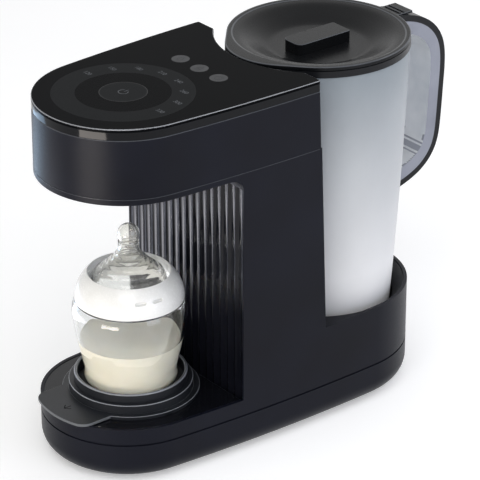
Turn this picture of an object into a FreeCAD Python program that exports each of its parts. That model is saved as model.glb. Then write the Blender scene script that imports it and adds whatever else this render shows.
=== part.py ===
import FreeCAD, Part
import math
import os

# A baby formula maker: a C-shaped body with a touch panel over the bottle, a lift-out
# bottle stand under it, and a water jug with a lid behind the column. Millimetres.
# +Z is up, the bottle stands toward -Y, the jug toward +Y, and X = 0 is the mid plane.
# Lengths along Y are written from the bottle's axis, and the body is then centred.

# Plan outline of the body
nose_radius = 58.5
rear_radius = 62.8
side_radius = 1300.0
axis_distance = 161.0
tongue_reach = 62.0

# Heights, each counted from the one before it
foot_height = 2.0
base_height = 27.8
rim_height = 10.8
rear_rise = 32.3
bay_height = 160.9
underside_thickness = 4.5
head_height = 40.0
trim_height = 5.6
plate_thickness = 2.2

# Walls and gaps
wall = 2.4
seam_gap = 0.6
seam_inset = 0.8
fit_gap = 0.1
rest_gap = 0.2
loose_gap = 0.3
tuck_radius = 14.0
edge_break = 0.6
lip_height = 4.0

# Column
column_front = 48.0
column_back_top = 109.6
column_back_lean = 0.0396
cradle_gap = 9.07
corner_round = 1.5
notch_corner_round = 1.5
cove_radius = 8.0
panel_thickness = 3.0
panel_edge_cover = 1.2
flute_count = 16
flute_depth = 1.3

# Deck, stand and tray
deck_thickness = 2.4
deck_drop = 0.4
ledge_width = 2.5
well_radius = 43.5
well_wall = 2.0
well_depth = 14.2
stand_offset = 2.0
flange_overlap = 2.1
tray_rise = 2.0
tray_wall = 1.8
tray_floor = 1.6
tongue_width = 54.0
tongue_corner = 10.0
tongue_lift = 0.3
middle_wall = 3.6
middle_rise = 5.9
cup_rise = 6.1
cup_wall = 2.2
cup_depth = 8.6
cup_floor = 1.8
mat_thickness = 1.2
mat_inset = 1.6
stand_fit = 0.06
stage_travel = 6.0
stage_overlap = 4.0

# Baby bottle, with its rises counted from its foot
bottle_wall = 1.6
bottle_base_radius = 30.8
bottle_base_inset = 3.0
bottle_base_rise = 3.4
bottle_waist_radius = 30.6
bottle_waist_rise = 10.1
bottle_swell_radius = 34.4
bottle_swell_rise = 27.6
bottle_widest_radius = 38.2
bottle_widest_rise = 50.4
bottle_shoulder_radius = 36.4
bottle_shoulder_rise = 60.1
bottle_neck_radius = 30.0
bottle_neck_rise = 71.4
thread_turns = 2
thread_pitch = 4.0
thread_depth = 0.9
thread_rise = 2.2
milk_depth = 31.0
collar_inset = 0.2
collar_foot_gap = 0.5
collar_middle_inset = 2.0
collar_middle_rise = 9.8
collar_top_rise = 8.0
collar_lip_width = 3.4
collar_slot_width = 7.5
collar_slot_height = 2.2
collar_slot_rise = 9.4
collar_slot_turns = (-24.0, -3.5)
teat_flange = 1.8
teat_wall = 1.6
teat_gap = 0.5
teat_riser = 3.0
teat_ball_radius = 7.3
teat_ball_rise = 34.6

# Teat side line from the collar's mouth to the ball, as (radius, rise from the bottle's neck) points
teat_points = [(23.0, 7.2), (17.4, 12.0), (11.9, 17.0), (7.8, 22.4), (6.6, 28.3)]

# Jug
jug_bottom_radius = 50.0
jug_top_radius = 60.6
jug_belly = 1.4
jug_top_drop = 3.2
jug_wall = 2.4
jug_corner = 5.0
jug_lip_drop = 4.4
jug_lip_cut = 1.2
band_proud = 0.6
band_rise = 0.2
spout_radius = 40.0
spout_length = 7.1
handle_width = 22.0
strip_thickness = 4.4
core_thickness = 8.8

# Handle side line from the rim to the jug's wall, as (distance out from the rim, drop from it) points
handle_points = [(-3.6, -2.3), (11.4, 0.0), (24.9, 5.6), (35.4, 14.6), (41.4, 25.6), (43.4, 38.6),
                 (42.6, 58.6), (40.8, 85.6), (36.9, 103.6), (27.4, 115.6), (12.4, 123.6), (-7.6, 129.1)]

# Lid
lid_proud = 0.1
lid_edge_height = 2.9
lid_rim_width = 2.6
lid_lip_round = 2.0
lid_floor_radius = 35.0
lid_dish_depth = 9.4
lid_thickness = 2.2
lid_skirt_gap = 0.8
lid_skirt_wall = 1.6
lid_skirt_depth = 10.6
lid_seal_height = 3.0
lid_seal_gap = 0.35
grip_width = 18.0
grip_length = 44.0
grip_forward = 2.0
grip_drop = 1.3
grip_front_round = 5.0
grip_back_round = 1.5
tab_width = 18.0
tab_length = 13.7
tab_thickness = 1.8

# Jug seat and water coupling
seat_depth = 26.6
seat_lip_drop = 0.8
seat_throat_rise = 16.6
seat_throat_gap = 2.2
seat_skirt_drop = 6.3
seat_skirt_wall = 2.0
seat_rib_count = 8
seat_rib_thickness = 2.0
seat_floor_thickness = 2.6
coupling_radius = 7.6
coupling_flange_radius = 11.0
coupling_drop = 13.3
coupling_wall = 2.0
coupling_drain_radius = 1.2
coupling_drain_x = 3.0
seal_drop = 4.0
pin_radius = 1.6
seal_wire_radius = 1.2

# Jug valve
valve_tube_radius = 9.5
valve_flange_radius = 13.0
valve_flange = 2.0
valve_bore_radius = 7.0
valve_mouth_radius = 4.2
valve_length = 15.4
valve_lip = 1.8
valve_window_count = 4
valve_window_width = 4.4
valve_cap = 1.6
poppet_disc_radius = 6.4
poppet_disc_thickness = 1.6
poppet_stem_radius = 2.2
poppet_recess = 0.2
pin_gap = 0.6
spring_wire_radius = 0.4
spring_coil_radius = 4.6
spring_turns = 5

# Hoses
hose_radius = 4.0
hose_bore_radius = 2.5
hose_bend_radius = 13.0
hose_end = 1.0
seat_hose_drop = 15.0
seat_hose_bend = 8.0
riser_side = 16.0
riser_turn_rise = 13.4
riser_bend = 9.0
spigot_length = 6.0

# Boiler and thermostat
boiler_radius = 16.0
boiler_rise = 55.4
boiler_length = 92.0
boiler_y = 72.0
boiler_round = 3.0
boiler_spigot = 9.0
boiler_band_count = 6
boiler_band_pitch = 12.0
boiler_band_height = 4.0
boiler_band_depth = 1.5
bracket_width = 28.0
bracket_plate = 1.5
bracket_arm = 6.0
thermostat_radius = 7.0
thermostat_depth = 7.0
thermostat_cap_radius = 4.5
thermostat_cap_depth = 3.0
blade_length = 8.0
blade_width = 4.0
blade_thickness = 0.8

# Pump and flow meter
pump_radius = 16.5
pump_length = 58.0
pump_neck = 10.0
pump_neck_radius = 10.0
pump_y = 128.0
pump_rise = 20.6
pump_band_width = 3.0
pump_band_depth = 0.8
pump_mount_width = 8.0
pump_mount_depth = 24.0
pump_mount_drop = 8.0
meter_radius = 9.0
meter_length = 14.0
sensor_width = 8.0
sensor_height = 3.0

# Boards and beeper
board_thickness = 1.6
board_width = 84.0
board_depth = 34.0
board_y = 75.0
board_rise = 7.6
board_leg_radius = 2.5
board_leg_inset = 4.0
relay_x = -34.0
relay_length = 20.0
relay_width = 15.0
relay_height = 15.0
coil_x = -8.0
coil_size = 18.0
coil_height = 13.0
capacitor_x = 20.0
capacitor_radius = 6.0
capacitor_height = 16.0
terminal_x = 28.0
terminal_width = 10.0
terminal_length = 22.0
terminal_height = 9.0
touch_board_inset = 8.0
touch_board_tail_width = 72.0
touch_board_reach = 82.0
beeper_radius = 6.0
beeper_height = 4.5
beeper_x = 22.0
beeper_y = 70.0

# Screws, feet and cord gland
screw_radius = 1.5
screw_head_radius = 3.0
screw_head_height = 1.8
screw_reach = 12.0
screw_slot_length = 4.0
screw_slot_width = 0.8
boss_radius = 5.5
boss_height = 4.0
front_boss_x = 42.0
front_boss_y = 34.0
rear_boss_x = 38.0
rear_boss_back = 29.0
pillar_rise = 3.4
pillar_arm = 2.4
foot_radius = 8.0
foot_x = 31.0
front_foot_y = -20.0
rear_foot_back = 11.0
gland_radius = 6.0
gland_tube_radius = 4.4
gland_bore = 3.4
gland_rise = 20.0
gland_flange = 2.5
gland_tube_length = 12.0
gland_nut = 3.0

# Nozzle
nozzle_radius = 4.0
nozzle_tip_radius = 2.6
nozzle_tip_bore = 1.4
nozzle_taper = 6.0
nozzle_drop = 2.3
nozzle_rise = 15.5
shroud_radius = 16.0
shroud_flare = 3.0
shroud_wall = 2.0
shroud_drop = 3.0
shroud_rise = 7.0

# Heights from the table
low_seam_height = foot_height + base_height
deck_height = low_seam_height + rim_height
rear_rim_height = deck_height + rear_rise
underside_height = deck_height + bay_height
high_seam_height = underside_height + underside_thickness
band_height = high_seam_height + head_height
plate_bottom_height = band_height + trim_height
top_height = plate_bottom_height + plate_thickness
floor_height = foot_height + wall
well_floor_height = deck_height - deck_drop - well_depth
tray_top_height = deck_height + tray_rise
middle_top_height = tray_top_height + middle_rise
cup_top_height = middle_top_height + cup_rise
cup_floor_height = cup_top_height - cup_depth
bottle_foot = cup_floor_height + mat_thickness + rest_gap
bottle_shoulder_height = bottle_foot + bottle_shoulder_rise
bottle_neck_top = bottle_foot + bottle_neck_rise
collar_foot_height = bottle_shoulder_height + collar_foot_gap
collar_top_height = bottle_neck_top + collar_top_rise
teat_ball_height = bottle_neck_top + teat_ball_rise
seat_floor_top = rear_rim_height - seat_depth
seat_lip_height = rear_rim_height - seat_lip_drop
seat_throat_height = seat_floor_top + seat_throat_rise
seat_skirt_height = seat_floor_top - seat_skirt_drop
coupling_bottom = seat_floor_top - coupling_drop
jug_bottom_height = seat_floor_top + loose_gap
jug_top_height = top_height - jug_top_drop
jug_lip_height = jug_top_height - jug_lip_drop
band_bottom_height = jug_lip_height
band_top_height = jug_top_height + band_rise
lid_bottom_height = band_top_height + loose_gap
lid_rim_height = lid_bottom_height + lid_edge_height
lid_floor_height = lid_rim_height - lid_dish_depth
lid_skirt_bottom = lid_bottom_height - lid_skirt_depth
grip_top_height = lid_rim_height - grip_drop
valve_top_height = jug_bottom_height + valve_length
valve_lip_height = jug_bottom_height + valve_lip
nozzle_bottom = underside_height - nozzle_drop
nozzle_top = underside_height + nozzle_rise
boiler_bottom = deck_height + boiler_rise
pump_height = floor_height + pump_rise
pump_mount_height = pump_height - pump_mount_drop
board_height = floor_height + board_rise
gland_height = foot_height + gland_rise
pillar_top = low_seam_height + pillar_rise

# Radii and places that follow from the sizes above
tray_flange_radius = well_radius + flange_overlap
collar_foot_radius = bottle_shoulder_radius - collar_inset
collar_opening_radius = bottle_neck_radius - collar_lip_width
band_radius = jug_top_radius + band_proud
lid_radius = band_radius + lid_proud
lid_skirt_radius = jug_top_radius - jug_wall - lid_skirt_gap
spout_reach = lid_radius + spout_length
tab_reach = lid_radius + tab_length
handle_root = axis_distance + jug_top_radius
handle_reach = handle_root + max(out for out, drop in handle_points)
centre_shift = (tongue_reach - handle_reach) / 2
bottle_y = centre_shift
jug_y = centre_shift + axis_distance
stand_y = centre_shift + stand_offset
big = 400.0


def up(x, y, z):
    return FreeCAD.Vector(x, y, z)


def from_bottle(distance):
    """World Y of a distance measured along Y from the bottle's axis."""
    return centre_shift + distance


def disc(radius, low, high, y, x=0.0):
    return Part.makeCylinder(radius, high - low, up(x, y, low))


def ring(outer, inner, low, high, y, x=0.0):
    return disc(outer, low, high, y, x).cut(disc(inner, low - 1, high + 1, y, x))


def block(x0, x1, y0, y1, z0, z1):
    return Part.makeBox(x1 - x0, y1 - y0, z1 - z0, up(x0, y0, z0))


def turned(points, y, x=0.0):
    """A closed outline of (radius, height) points turned about an upright axis."""
    corners = [up(x + r, y, z) for r, z in points]
    corners.append(corners[0])
    face = Part.Face(Part.makePolygon(corners))
    return face.revolve(up(x, y, 0), up(0, 0, 1), 360)


def spline(points):
    curve = Part.BSplineCurve()
    curve.interpolate(points)
    return curve.toShape()


def side_profile(points, half_width):
    """An outline of (y from the bottle, z) points, as wide as the given half width each side."""
    corners = [up(-half_width, from_bottle(y), z) for y, z in points]
    corners.append(corners[0])
    face = Part.Face(Part.makePolygon(corners))
    return face.extrude(up(2 * half_width, 0, 0))


def side_arc_centre():
    """Where the long side arc is centred so that it runs smoothly into both end arcs."""
    front = side_radius - nose_radius
    rear = side_radius - rear_radius
    along = (axis_distance ** 2 + front ** 2 - rear ** 2) / (2 * axis_distance)
    return math.sqrt(front ** 2 - along ** 2), along


def half_width_at(y):
    """Half the body's width at a distance from the bottle's axis."""
    across, along = side_arc_centre()
    return math.sqrt(side_radius ** 2 - (y - along) ** 2) - across


def plan_prism(grow, low, high):
    """The body's plan outline, moved outward by grow, as a prism."""
    across, along = side_arc_centre()
    nose = nose_radius + grow
    rear = rear_radius + grow
    side = side_radius + grow
    front_x = across / (side_radius - nose_radius)
    front_y = -along / (side_radius - nose_radius)
    back_x = across / (side_radius - rear_radius)
    back_y = (axis_distance - along) / (side_radius - rear_radius)
    mid_y = (front_y + back_y) / 2
    mid_x = math.sqrt(1 - mid_y ** 2)
    front_right = up(nose * front_x, from_bottle(nose * front_y), low)
    back_right = up(rear * back_x, from_bottle(axis_distance + rear * back_y), low)
    side_right = up(-across + side * mid_x, from_bottle(along + side * mid_y), low)
    front_left = up(-front_right.x, front_right.y, low)
    back_left = up(-back_right.x, back_right.y, low)
    side_left = up(-side_right.x, side_right.y, low)
    tip = up(0, from_bottle(-nose), low)
    tail = up(0, from_bottle(axis_distance + rear), low)
    edges = [
        Part.Arc(front_left, tip, front_right).toShape(),
        Part.Arc(front_right, side_right, back_right).toShape(),
        Part.Arc(back_right, tail, back_left).toShape(),
        Part.Arc(back_left, side_left, front_left).toShape(),
    ]
    return Part.Face(Part.Wire(edges)).extrude(up(0, 0, high - low))


def column_back_y(z):
    """Y from the bottle of the column's leaning back face."""
    return column_back_top + (top_height - z) * column_back_lean


def behind_column(low, high, inset):
    return side_profile([(column_back_y(low) - inset, low), (big, low), (big, high),
                         (column_back_y(high) - inset, high)], big)


def jug_radius(z):
    slope = (jug_top_radius - jug_bottom_radius) / (jug_top_height - jug_bottom_height)
    return jug_bottom_radius + (z - jug_bottom_height) * slope


def cradle(low, high, grow):
    """The cone round the jug that the column and the head leave free."""
    return Part.makeCone(jug_radius(low) + cradle_gap + grow, jug_radius(high) + cradle_gap + grow,
                         high - low, up(0, jug_y, low))


def head_block(inset, low, high):
    """The head's plan, cut by the column's back face and by the jug's cradle."""
    solid = plan_prism(-inset, low, high)
    solid = solid.cut(behind_column(low - 1, high + 1, inset))
    return solid.cut(cradle(low - 1, high + 1, inset))


def upright_edges_near(solid, x, y, reach):
    found = []
    for edge in solid.Edges:
        box = edge.BoundBox
        if box.ZLength < 1:
            continue
        if math.hypot(abs(edge.CenterOfMass.x) - x, edge.CenterOfMass.y - y) < reach:
            found.append(edge)
    return found


def rounded_head_block(inset, low, high):
    solid = head_block(inset, low, high)
    middle = (low + high) / 2
    back = column_back_y(middle)
    outer = upright_edges_near(solid, half_width_at(back), from_bottle(back), 4.0)
    round_outer = max(corner_round - inset, 1.0)
    solid = solid.makeFillet(round_outer, outer)
    reach = jug_radius(middle) + cradle_gap
    notch_x = math.sqrt(reach ** 2 - (axis_distance - back) ** 2)
    inner = upright_edges_near(solid, notch_x, from_bottle(back), 4.0)
    return solid.makeFillet(notch_corner_round, inner)


def top_rim_edges(solid, height):
    return [edge for edge in solid.Edges
            if abs(edge.BoundBox.ZMin - height) < 0.001 and abs(edge.BoundBox.ZMax - height) < 0.001]


def outer_rim_edges(solid, height):
    face = [f for f in solid.Faces
            if abs(f.BoundBox.ZMin - height) < 0.001 and abs(f.BoundBox.ZMax - height) < 0.001]
    face.sort(key=lambda f: f.BoundBox.DiagonalLength)
    return face[-1].OuterWire.Edges


def boss_places():
    """Four screw places on the flat of the floor, two beside the tray and two beside the jug."""
    return [(front_boss_x, front_boss_y), (-front_boss_x, front_boss_y),
            (rear_boss_x, axis_distance + rear_boss_back), (-rear_boss_x, axis_distance + rear_boss_back)]


def foot_places():
    back = axis_distance + rear_foot_back
    return [(foot_x, front_foot_y), (-foot_x, front_foot_y), (foot_x, back), (-foot_x, back)]


def rubber_feet():
    feet = []
    for x, y in foot_places():
        pad = disc(foot_radius, 0, foot_height, from_bottle(y), x)
        pad = pad.makeFillet(edge_break, top_rim_edges(pad, 0))
        feet.append(pad)
    return Part.makeCompound(feet)


def tucked_tub(inset, low, high):
    tub = plan_prism(-inset, low, high)
    return tub.makeFillet(tuck_radius - inset, outer_rim_edges(tub, low))


def lower_shell():
    lip = low_seam_height - seam_gap
    shell = tucked_tub(0, foot_height, lip)
    shell = shell.cut(tucked_tub(wall, floor_height, low_seam_height))
    rebate = plan_prism(0, lip - seam_gap, low_seam_height).cut(
        plan_prism(-seam_inset, lip - seam_gap, low_seam_height))
    shell = shell.cut(rebate)
    boss_top = floor_height + boss_height
    for x, y in boss_places():
        shell = shell.fuse(disc(boss_radius, foot_height + wall / 2, boss_top, from_bottle(y), x))
        shell = shell.cut(disc(screw_radius, foot_height - 1, boss_top + 1, from_bottle(y), x))
        shell = shell.cut(disc(screw_head_radius + fit_gap, foot_height - 1,
                               foot_height + screw_head_height + 1, from_bottle(y), x))
    hole = Part.makeCylinder(gland_tube_radius + fit_gap / 2, 2 * gland_tube_length,
                             up(0, gland_wall() - gland_tube_length, gland_height), up(0, 1, 0))
    return shell.cut(hole).common(plan_prism(0, foot_height, low_seam_height))


def base_screws():
    screws = []
    for x, y in boss_places():
        head_low = foot_height + 1
        head_high = head_low + screw_head_height
        screw = disc(screw_head_radius, head_low, head_high, from_bottle(y), x)
        screw = screw.fuse(disc(screw_radius, head_high, screw_top(), from_bottle(y), x))
        half_slot = screw_slot_width / 2
        slot = block(x - screw_slot_length / 2, x + screw_slot_length / 2, from_bottle(y) - half_slot,
                     from_bottle(y) + half_slot, head_low - 1, head_low + screw_slot_width)
        screws.append(screw.cut(slot))
    return Part.makeCompound(screws)


def jug_hollow(grow):
    """The round space behind the column, upright round the jug seat and leaning out above it."""
    throat = jug_radius(rear_rim_height) + cradle_gap + grow
    crown = jug_radius(high_seam_height) + cradle_gap + grow
    return turned([(0, 0), (throat, 0), (throat, rear_rim_height), (crown, high_seam_height),
                   (0, high_seam_height)], jug_y)


def column_back():
    """The cover round the jug: the hollow and the two flats on the column's back."""
    low = seat_skirt_height
    core = plan_prism(-wall - fit_gap, low, high_seam_height).cut(jug_hollow(0))
    core = core.cut(behind_column(low - 1, high_seam_height + 1, 0))
    core = core.common(block(-big, big, from_bottle(column_front) + panel_thickness, big, 0, big))
    flats = core.common(behind_column(low - 1, high_seam_height + 1, wall))
    return core.common(jug_hollow(wall)).fuse(flats).removeSplitter()


def body_shell():
    outer = plan_prism(0, low_seam_height, high_seam_height)
    bay = block(-big, big, from_bottle(-big), from_bottle(column_front), deck_height, big)
    outer = outer.cut(bay).cut(behind_column(rear_rim_height, big, 0))
    outer = outer.cut(cradle(rear_rim_height, big, 0))
    shell = outer.cut(plan_prism(-wall, low_seam_height - 1, high_seam_height + 1))
    ledge_low = deck_height - deck_drop - deck_thickness
    ledge = plan_prism(-wall / 2, ledge_low - 2, ledge_low).cut(
        plan_prism(-wall - ledge_width, ledge_low - 3, ledge_low + 1))
    shell = shell.fuse(ledge.common(block(-big, big, -big, from_bottle(column_front), 0, big)))
    shell = shell.fuse(rear_shoulder())
    for x, y in boss_places():
        shell = shell.fuse(screw_pillar(x, y))
    return shell.cut(panel_space()).removeSplitter()


def rear_shoulder():
    """The flat corners between the round jug seat and the body's wall, behind the column."""
    high = seat_lip_height
    low = high - wall
    plate = plan_prism(-wall / 2, low, high).cut(disc(seat_radius() + loose_gap, low - 1, high + 1, jug_y))
    return plate.common(block(-big, big, from_bottle(column_back_y(low)) + fit_gap, big, 0, big))


def seat_radius():
    return jug_radius(rear_rim_height) + cradle_gap - loose_gap


def screw_pillar(x, y):
    """A pillar that a base screw bites into, on a rib from the shell's wall."""
    low = floor_height + boss_height + rest_gap
    pillar = disc(boss_radius - 1, low, pillar_top, from_bottle(y), x)
    reach = math.copysign(nose_radius + rear_radius, x)
    arm = block(min(x, reach), max(x, reach), from_bottle(y) - pillar_arm / 2, from_bottle(y) + pillar_arm / 2,
                low_seam_height, pillar_top)
    arm = arm.common(plan_prism(-wall / 2, 0, top_height))
    return pillar.fuse(arm).cut(disc(screw_radius, 0, screw_top() + 1, from_bottle(y), x))


def screw_top():
    return floor_height + boss_height + screw_reach


def panel_half_width():
    return half_width_at(column_front) - panel_edge_cover


def panel_space():
    half = panel_half_width()
    return block(-half, half, from_bottle(column_front), from_bottle(column_front) + panel_thickness,
                 deck_height - deck_thickness, high_seam_height + 1)


def flute_cutter(x, low, high):
    pitch = 2 * panel_half_width() / flute_count
    radius = ((pitch / 2) ** 2 + flute_depth ** 2) / (2 * flute_depth)
    y = from_bottle(column_front) + flute_depth - radius
    return disc(radius, low, high, y, x)


def fluted_panel():
    low = deck_height - deck_thickness
    half = panel_half_width()
    panel = block(-half, half, from_bottle(column_front), from_bottle(column_front) + panel_thickness,
                  low, underside_height)
    pitch = 2 * half / flute_count
    for number in range(flute_count):
        x = -half + pitch * (number + 0.5)
        panel = panel.cut(flute_cutter(x, low - 1, underside_height - cove_radius))
    return panel


def deck_plate():
    low = deck_height - deck_drop - deck_thickness
    high = deck_height - deck_drop
    plate = plan_prism(-wall - fit_gap, low, high)
    plate = plate.common(block(-big, big, -big, from_bottle(column_front) - loose_gap, 0, big))
    pot = disc(well_radius + well_wall, well_floor_height - well_wall, high - deck_thickness / 2, stand_y)
    pot = pot.common(block(-big, big, -big, from_bottle(column_front) - loose_gap, 0, big))
    plate = plate.fuse(pot)
    return plate.cut(disc(well_radius, well_floor_height, big, stand_y)).removeSplitter()


def head_underside():
    low = underside_height
    high = high_seam_height - seam_gap
    front = block(-big, big, -big, from_bottle(column_front), 0, big)
    plate = plan_prism(0, low, high).common(front)
    plate = plate.makeFillet(edge_break, [edge for edge in outer_rim_edges(plate, low)
                                          if edge.BoundBox.YLength > 1])
    lip = plan_prism(-wall - fit_gap, high, high + lip_height)
    lip = lip.cut(plan_prism(-2 * wall, high - 1, high + lip_height + 1))
    cove = block(-big, big, from_bottle(column_front) - cove_radius, from_bottle(column_front),
                 low - cove_radius, low + wall / 2)
    hollow = Part.makeCylinder(cove_radius, 2 * big, up(-big, from_bottle(column_front) - cove_radius,
                                                       low - cove_radius), up(1, 0, 0))
    cove = cove.cut(hollow).common(plan_prism(0, low - cove_radius, high))
    plate = plate.fuse(cove).fuse(lip.common(front))
    return plate.cut(disc(shroud_radius - shroud_flare, 0, big, stand_y)).removeSplitter()


def head_shell():
    shell = rounded_head_block(0, high_seam_height, band_height)
    return shell.cut(head_block(wall, high_seam_height - 1, band_height + 1))


def trim_band():
    band = rounded_head_block(0, band_height + loose_gap, plate_bottom_height)
    return band.cut(head_block(wall, band_height, plate_bottom_height + 1))


def touch_plate():
    plate = rounded_head_block(0, plate_bottom_height, top_height)
    rim = outer_rim_edges(plate, top_height)
    return plate.makeFillet(edge_break, rim)


def touch_board():
    high = plate_bottom_height
    low = high - board_thickness
    board = disc(nose_radius - touch_board_inset, low, high, bottle_y)
    half = touch_board_tail_width / 2
    tail = block(-half, half, bottle_y, from_bottle(touch_board_reach), low, high)
    return board.fuse(tail).removeSplitter()


def beeper():
    high = plate_bottom_height - board_thickness
    low = high - beeper_height
    body = disc(beeper_radius, low, high, from_bottle(beeper_y), beeper_x)
    return body.cut(disc(beeper_radius / 4, low - 1, low + beeper_height / 2, from_bottle(beeper_y), beeper_x))


def nozzle_shroud():
    low = underside_height - shroud_drop
    top = underside_height + shroud_rise
    seat = underside_height - rest_gap / 2
    neck = shroud_radius - shroud_flare - fit_gap
    hole = nozzle_radius + fit_gap / 2
    return turned([(shroud_radius - shroud_flare, low), (shroud_radius, seat), (neck, seat), (neck, top),
                   (hole, top), (hole, top - shroud_wall), (neck - shroud_wall, top - shroud_wall),
                   (neck - shroud_wall, low)], stand_y)


def outlet_nozzle():
    low = nozzle_bottom
    collar_low = underside_height + shroud_rise
    body = turned([(nozzle_tip_bore, low), (nozzle_tip_radius, low), (nozzle_radius, low + nozzle_taper),
                   (nozzle_radius, nozzle_top), (hose_bore_radius, nozzle_top),
                   (hose_bore_radius, low + nozzle_taper), (nozzle_tip_bore, low + nozzle_taper / 2)], stand_y)
    collar = ring(nozzle_radius + shroud_flare, nozzle_radius - edge_break, collar_low,
                  collar_low + nozzle_tip_bore, stand_y)
    return body.fuse(collar).removeSplitter()


def jug_seat():
    outer = seat_radius()
    throat = jug_radius(seat_throat_height) + seat_throat_gap
    foot = jug_radius(seat_floor_top) + seat_throat_gap
    floor_low = seat_floor_top - seat_floor_thickness
    skirt_top = seat_lip_height - 2 * wall
    profile = [(coupling_radius, floor_low), (coupling_radius, seat_floor_top), (foot, seat_floor_top),
               (throat, seat_throat_height), (outer, seat_lip_height), (outer, skirt_top - wall),
               (throat + wall, seat_throat_height - wall), (foot + wall, floor_low)]
    seat = turned(profile, jug_y)
    skirt = ring(outer, outer - seat_skirt_wall, seat_skirt_height, skirt_top, jug_y)
    ribs = []
    turn = 360 / seat_rib_count
    for number in range(seat_rib_count):
        rib = block(foot, outer - 1, -seat_rib_thickness / 2, seat_rib_thickness / 2, floor_low,
                    seat_throat_height - 1)
        rib.rotate(up(0, 0, 0), up(0, 0, 1), turn * (number + 0.5))
        rib.translate(up(0, jug_y, 0))
        ribs.append(rib)
    return seat.fuse([skirt] + ribs).removeSplitter()


def inlet_coupling():
    floor_low = seat_floor_top - seat_floor_thickness
    base_low = coupling_bottom + coupling_wall
    base_high = base_low + coupling_wall
    tube = ring(coupling_radius, coupling_radius - coupling_wall, base_high, seat_floor_top, jug_y)
    flange = ring(coupling_flange_radius, coupling_radius - 1, floor_low - coupling_wall, floor_low, jug_y)
    base = disc(coupling_radius, base_low, base_high, jug_y)
    spigot = disc(hose_bore_radius, coupling_bottom - spigot_length, base_low + 1, jug_y)
    pin = disc(pin_radius, base_low + 1, jug_bottom_height + poppet_recess - pin_gap, jug_y)
    drain = disc(coupling_drain_radius, base_low - 1, base_high + 1, jug_y, coupling_drain_x + 1)
    return tube.fuse([flange, base, spigot, pin]).cut(drain).removeSplitter()


def inlet_seal():
    return Part.makeTorus(coupling_radius - coupling_wall - seal_wire_radius, seal_wire_radius,
                          up(0, jug_y, seat_floor_top - seal_drop))


def valve_housing():
    """The drain valve's body, clamped through the middle of the jug's bottom."""
    floor_top = jug_bottom_height + jug_wall
    flange_top = floor_top + valve_flange
    cap_low = valve_top_height - valve_cap
    guide = poppet_stem_radius + stand_fit
    profile = [(valve_mouth_radius, jug_bottom_height), (valve_tube_radius, jug_bottom_height),
               (valve_tube_radius, floor_top), (valve_flange_radius, floor_top),
               (valve_flange_radius, flange_top), (valve_tube_radius, flange_top),
               (valve_tube_radius, valve_top_height), (guide, valve_top_height), (guide, cap_low),
               (valve_bore_radius, cap_low), (valve_bore_radius, valve_lip_height),
               (valve_mouth_radius, valve_lip_height)]
    housing = turned(profile, jug_y)
    turn = 360 / valve_window_count
    for number in range(valve_window_count):
        window = block(valve_bore_radius - 2, valve_tube_radius + 1, -valve_window_width / 2,
                       valve_window_width / 2, flange_top + valve_flange, cap_low - valve_cap)
        window.rotate(up(0, 0, 0), up(0, 0, 1), turn * (number + 0.5))
        window.translate(up(0, jug_y, 0))
        housing = housing.cut(window)
    return housing


def poppet_seat():
    return valve_lip_height + fit_gap / 2


def valve_poppet():
    low = poppet_seat()
    plate = disc(poppet_disc_radius, low, low + poppet_disc_thickness, jug_y)
    stem = disc(poppet_stem_radius, jug_bottom_height + poppet_recess, valve_top_height + 1, jug_y)
    return plate.fuse(stem).removeSplitter()


def two_arcs(start, start_way, end, end_way):
    """Two arcs that leave start and reach end along the two given unit directions."""
    span = end - start
    lean = start_way + end_way
    dot = span.dot(lean)
    stiff = 2 * (1 - start_way.dot(end_way))
    reach = (math.sqrt(dot ** 2 + stiff * span.dot(span)) - dot) / stiff
    joint = (start + start_way * reach + end - end_way * reach) * 0.5
    corner = start + start_way * reach
    middle = arc_middle(start, corner, joint)
    last_corner = end - end_way * reach
    last_middle = arc_middle(joint, last_corner, end)
    return [Part.Arc(start, middle, joint).toShape(), Part.Arc(joint, last_middle, end).toShape()]


def arc_middle(start, corner, end):
    """The middle of the arc that touches the runs from start to corner and from corner to end."""
    chord = (start + end) * 0.5
    inward = chord - corner
    half = (start - corner).getAngle(end - corner) / 2
    side = (start - corner).Length
    radius = side * math.tan(half)
    to_centre = side / math.cos(half)
    inward.normalize()
    return corner + inward * (to_centre - radius)


def coil_point(turn, low, pitch):
    angle = 2 * math.pi * turn
    x = spring_coil_radius * math.cos(angle)
    y = jug_y + spring_coil_radius * math.sin(angle)
    return up(x, y, low + pitch * turn)


def coil_way(turn, pitch):
    angle = 2 * math.pi * turn
    way = up(-spring_coil_radius * math.sin(angle), spring_coil_radius * math.cos(angle), pitch / (2 * math.pi))
    way.normalize()
    return way


def valve_spring():
    """A compression spring between the poppet's disc and the housing's cap."""
    low = poppet_seat() + poppet_disc_thickness + spring_wire_radius + fit_gap
    high = valve_top_height - valve_cap - spring_wire_radius - fit_gap
    pitch = (high - low) / spring_turns
    edges = []
    for quarter in range(4 * spring_turns):
        turn = quarter / 4
        edges += two_arcs(coil_point(turn, low, pitch), coil_way(turn, pitch),
                          coil_point(turn + 0.25, low, pitch), coil_way(turn + 0.25, pitch))
    start = coil_point(0, low, pitch)
    circle = Part.Wire([Part.makeCircle(spring_wire_radius, start, coil_way(0, pitch))])
    spring = Part.Wire(edges).makePipeShell([circle], True, False)
    print("valve spring: least gap between turns", round(least_turn_gap(low, pitch), 2))
    return spring


def least_turn_gap(low, pitch):
    """The least clear distance between points of the spring at least half a turn apart."""
    points = [coil_point(number / 24, low, pitch) for number in range(24 * spring_turns + 1)]
    least = big
    for number, point in enumerate(points):
        for other in points[number + 12:]:
            least = min(least, (other - point).Length)
    return least - 2 * spring_wire_radius


def jug_outline(grow):
    """The jug's slightly bellied wall line from the bottom corner to the rim, as one arc."""
    low = up(jug_bottom_radius + grow, 0, jug_bottom_height)
    high = up(jug_top_radius + grow, 0, jug_top_height)
    middle = (low + high) * 0.5 + up(jug_belly, 0, 0)
    return low, middle, high


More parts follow.
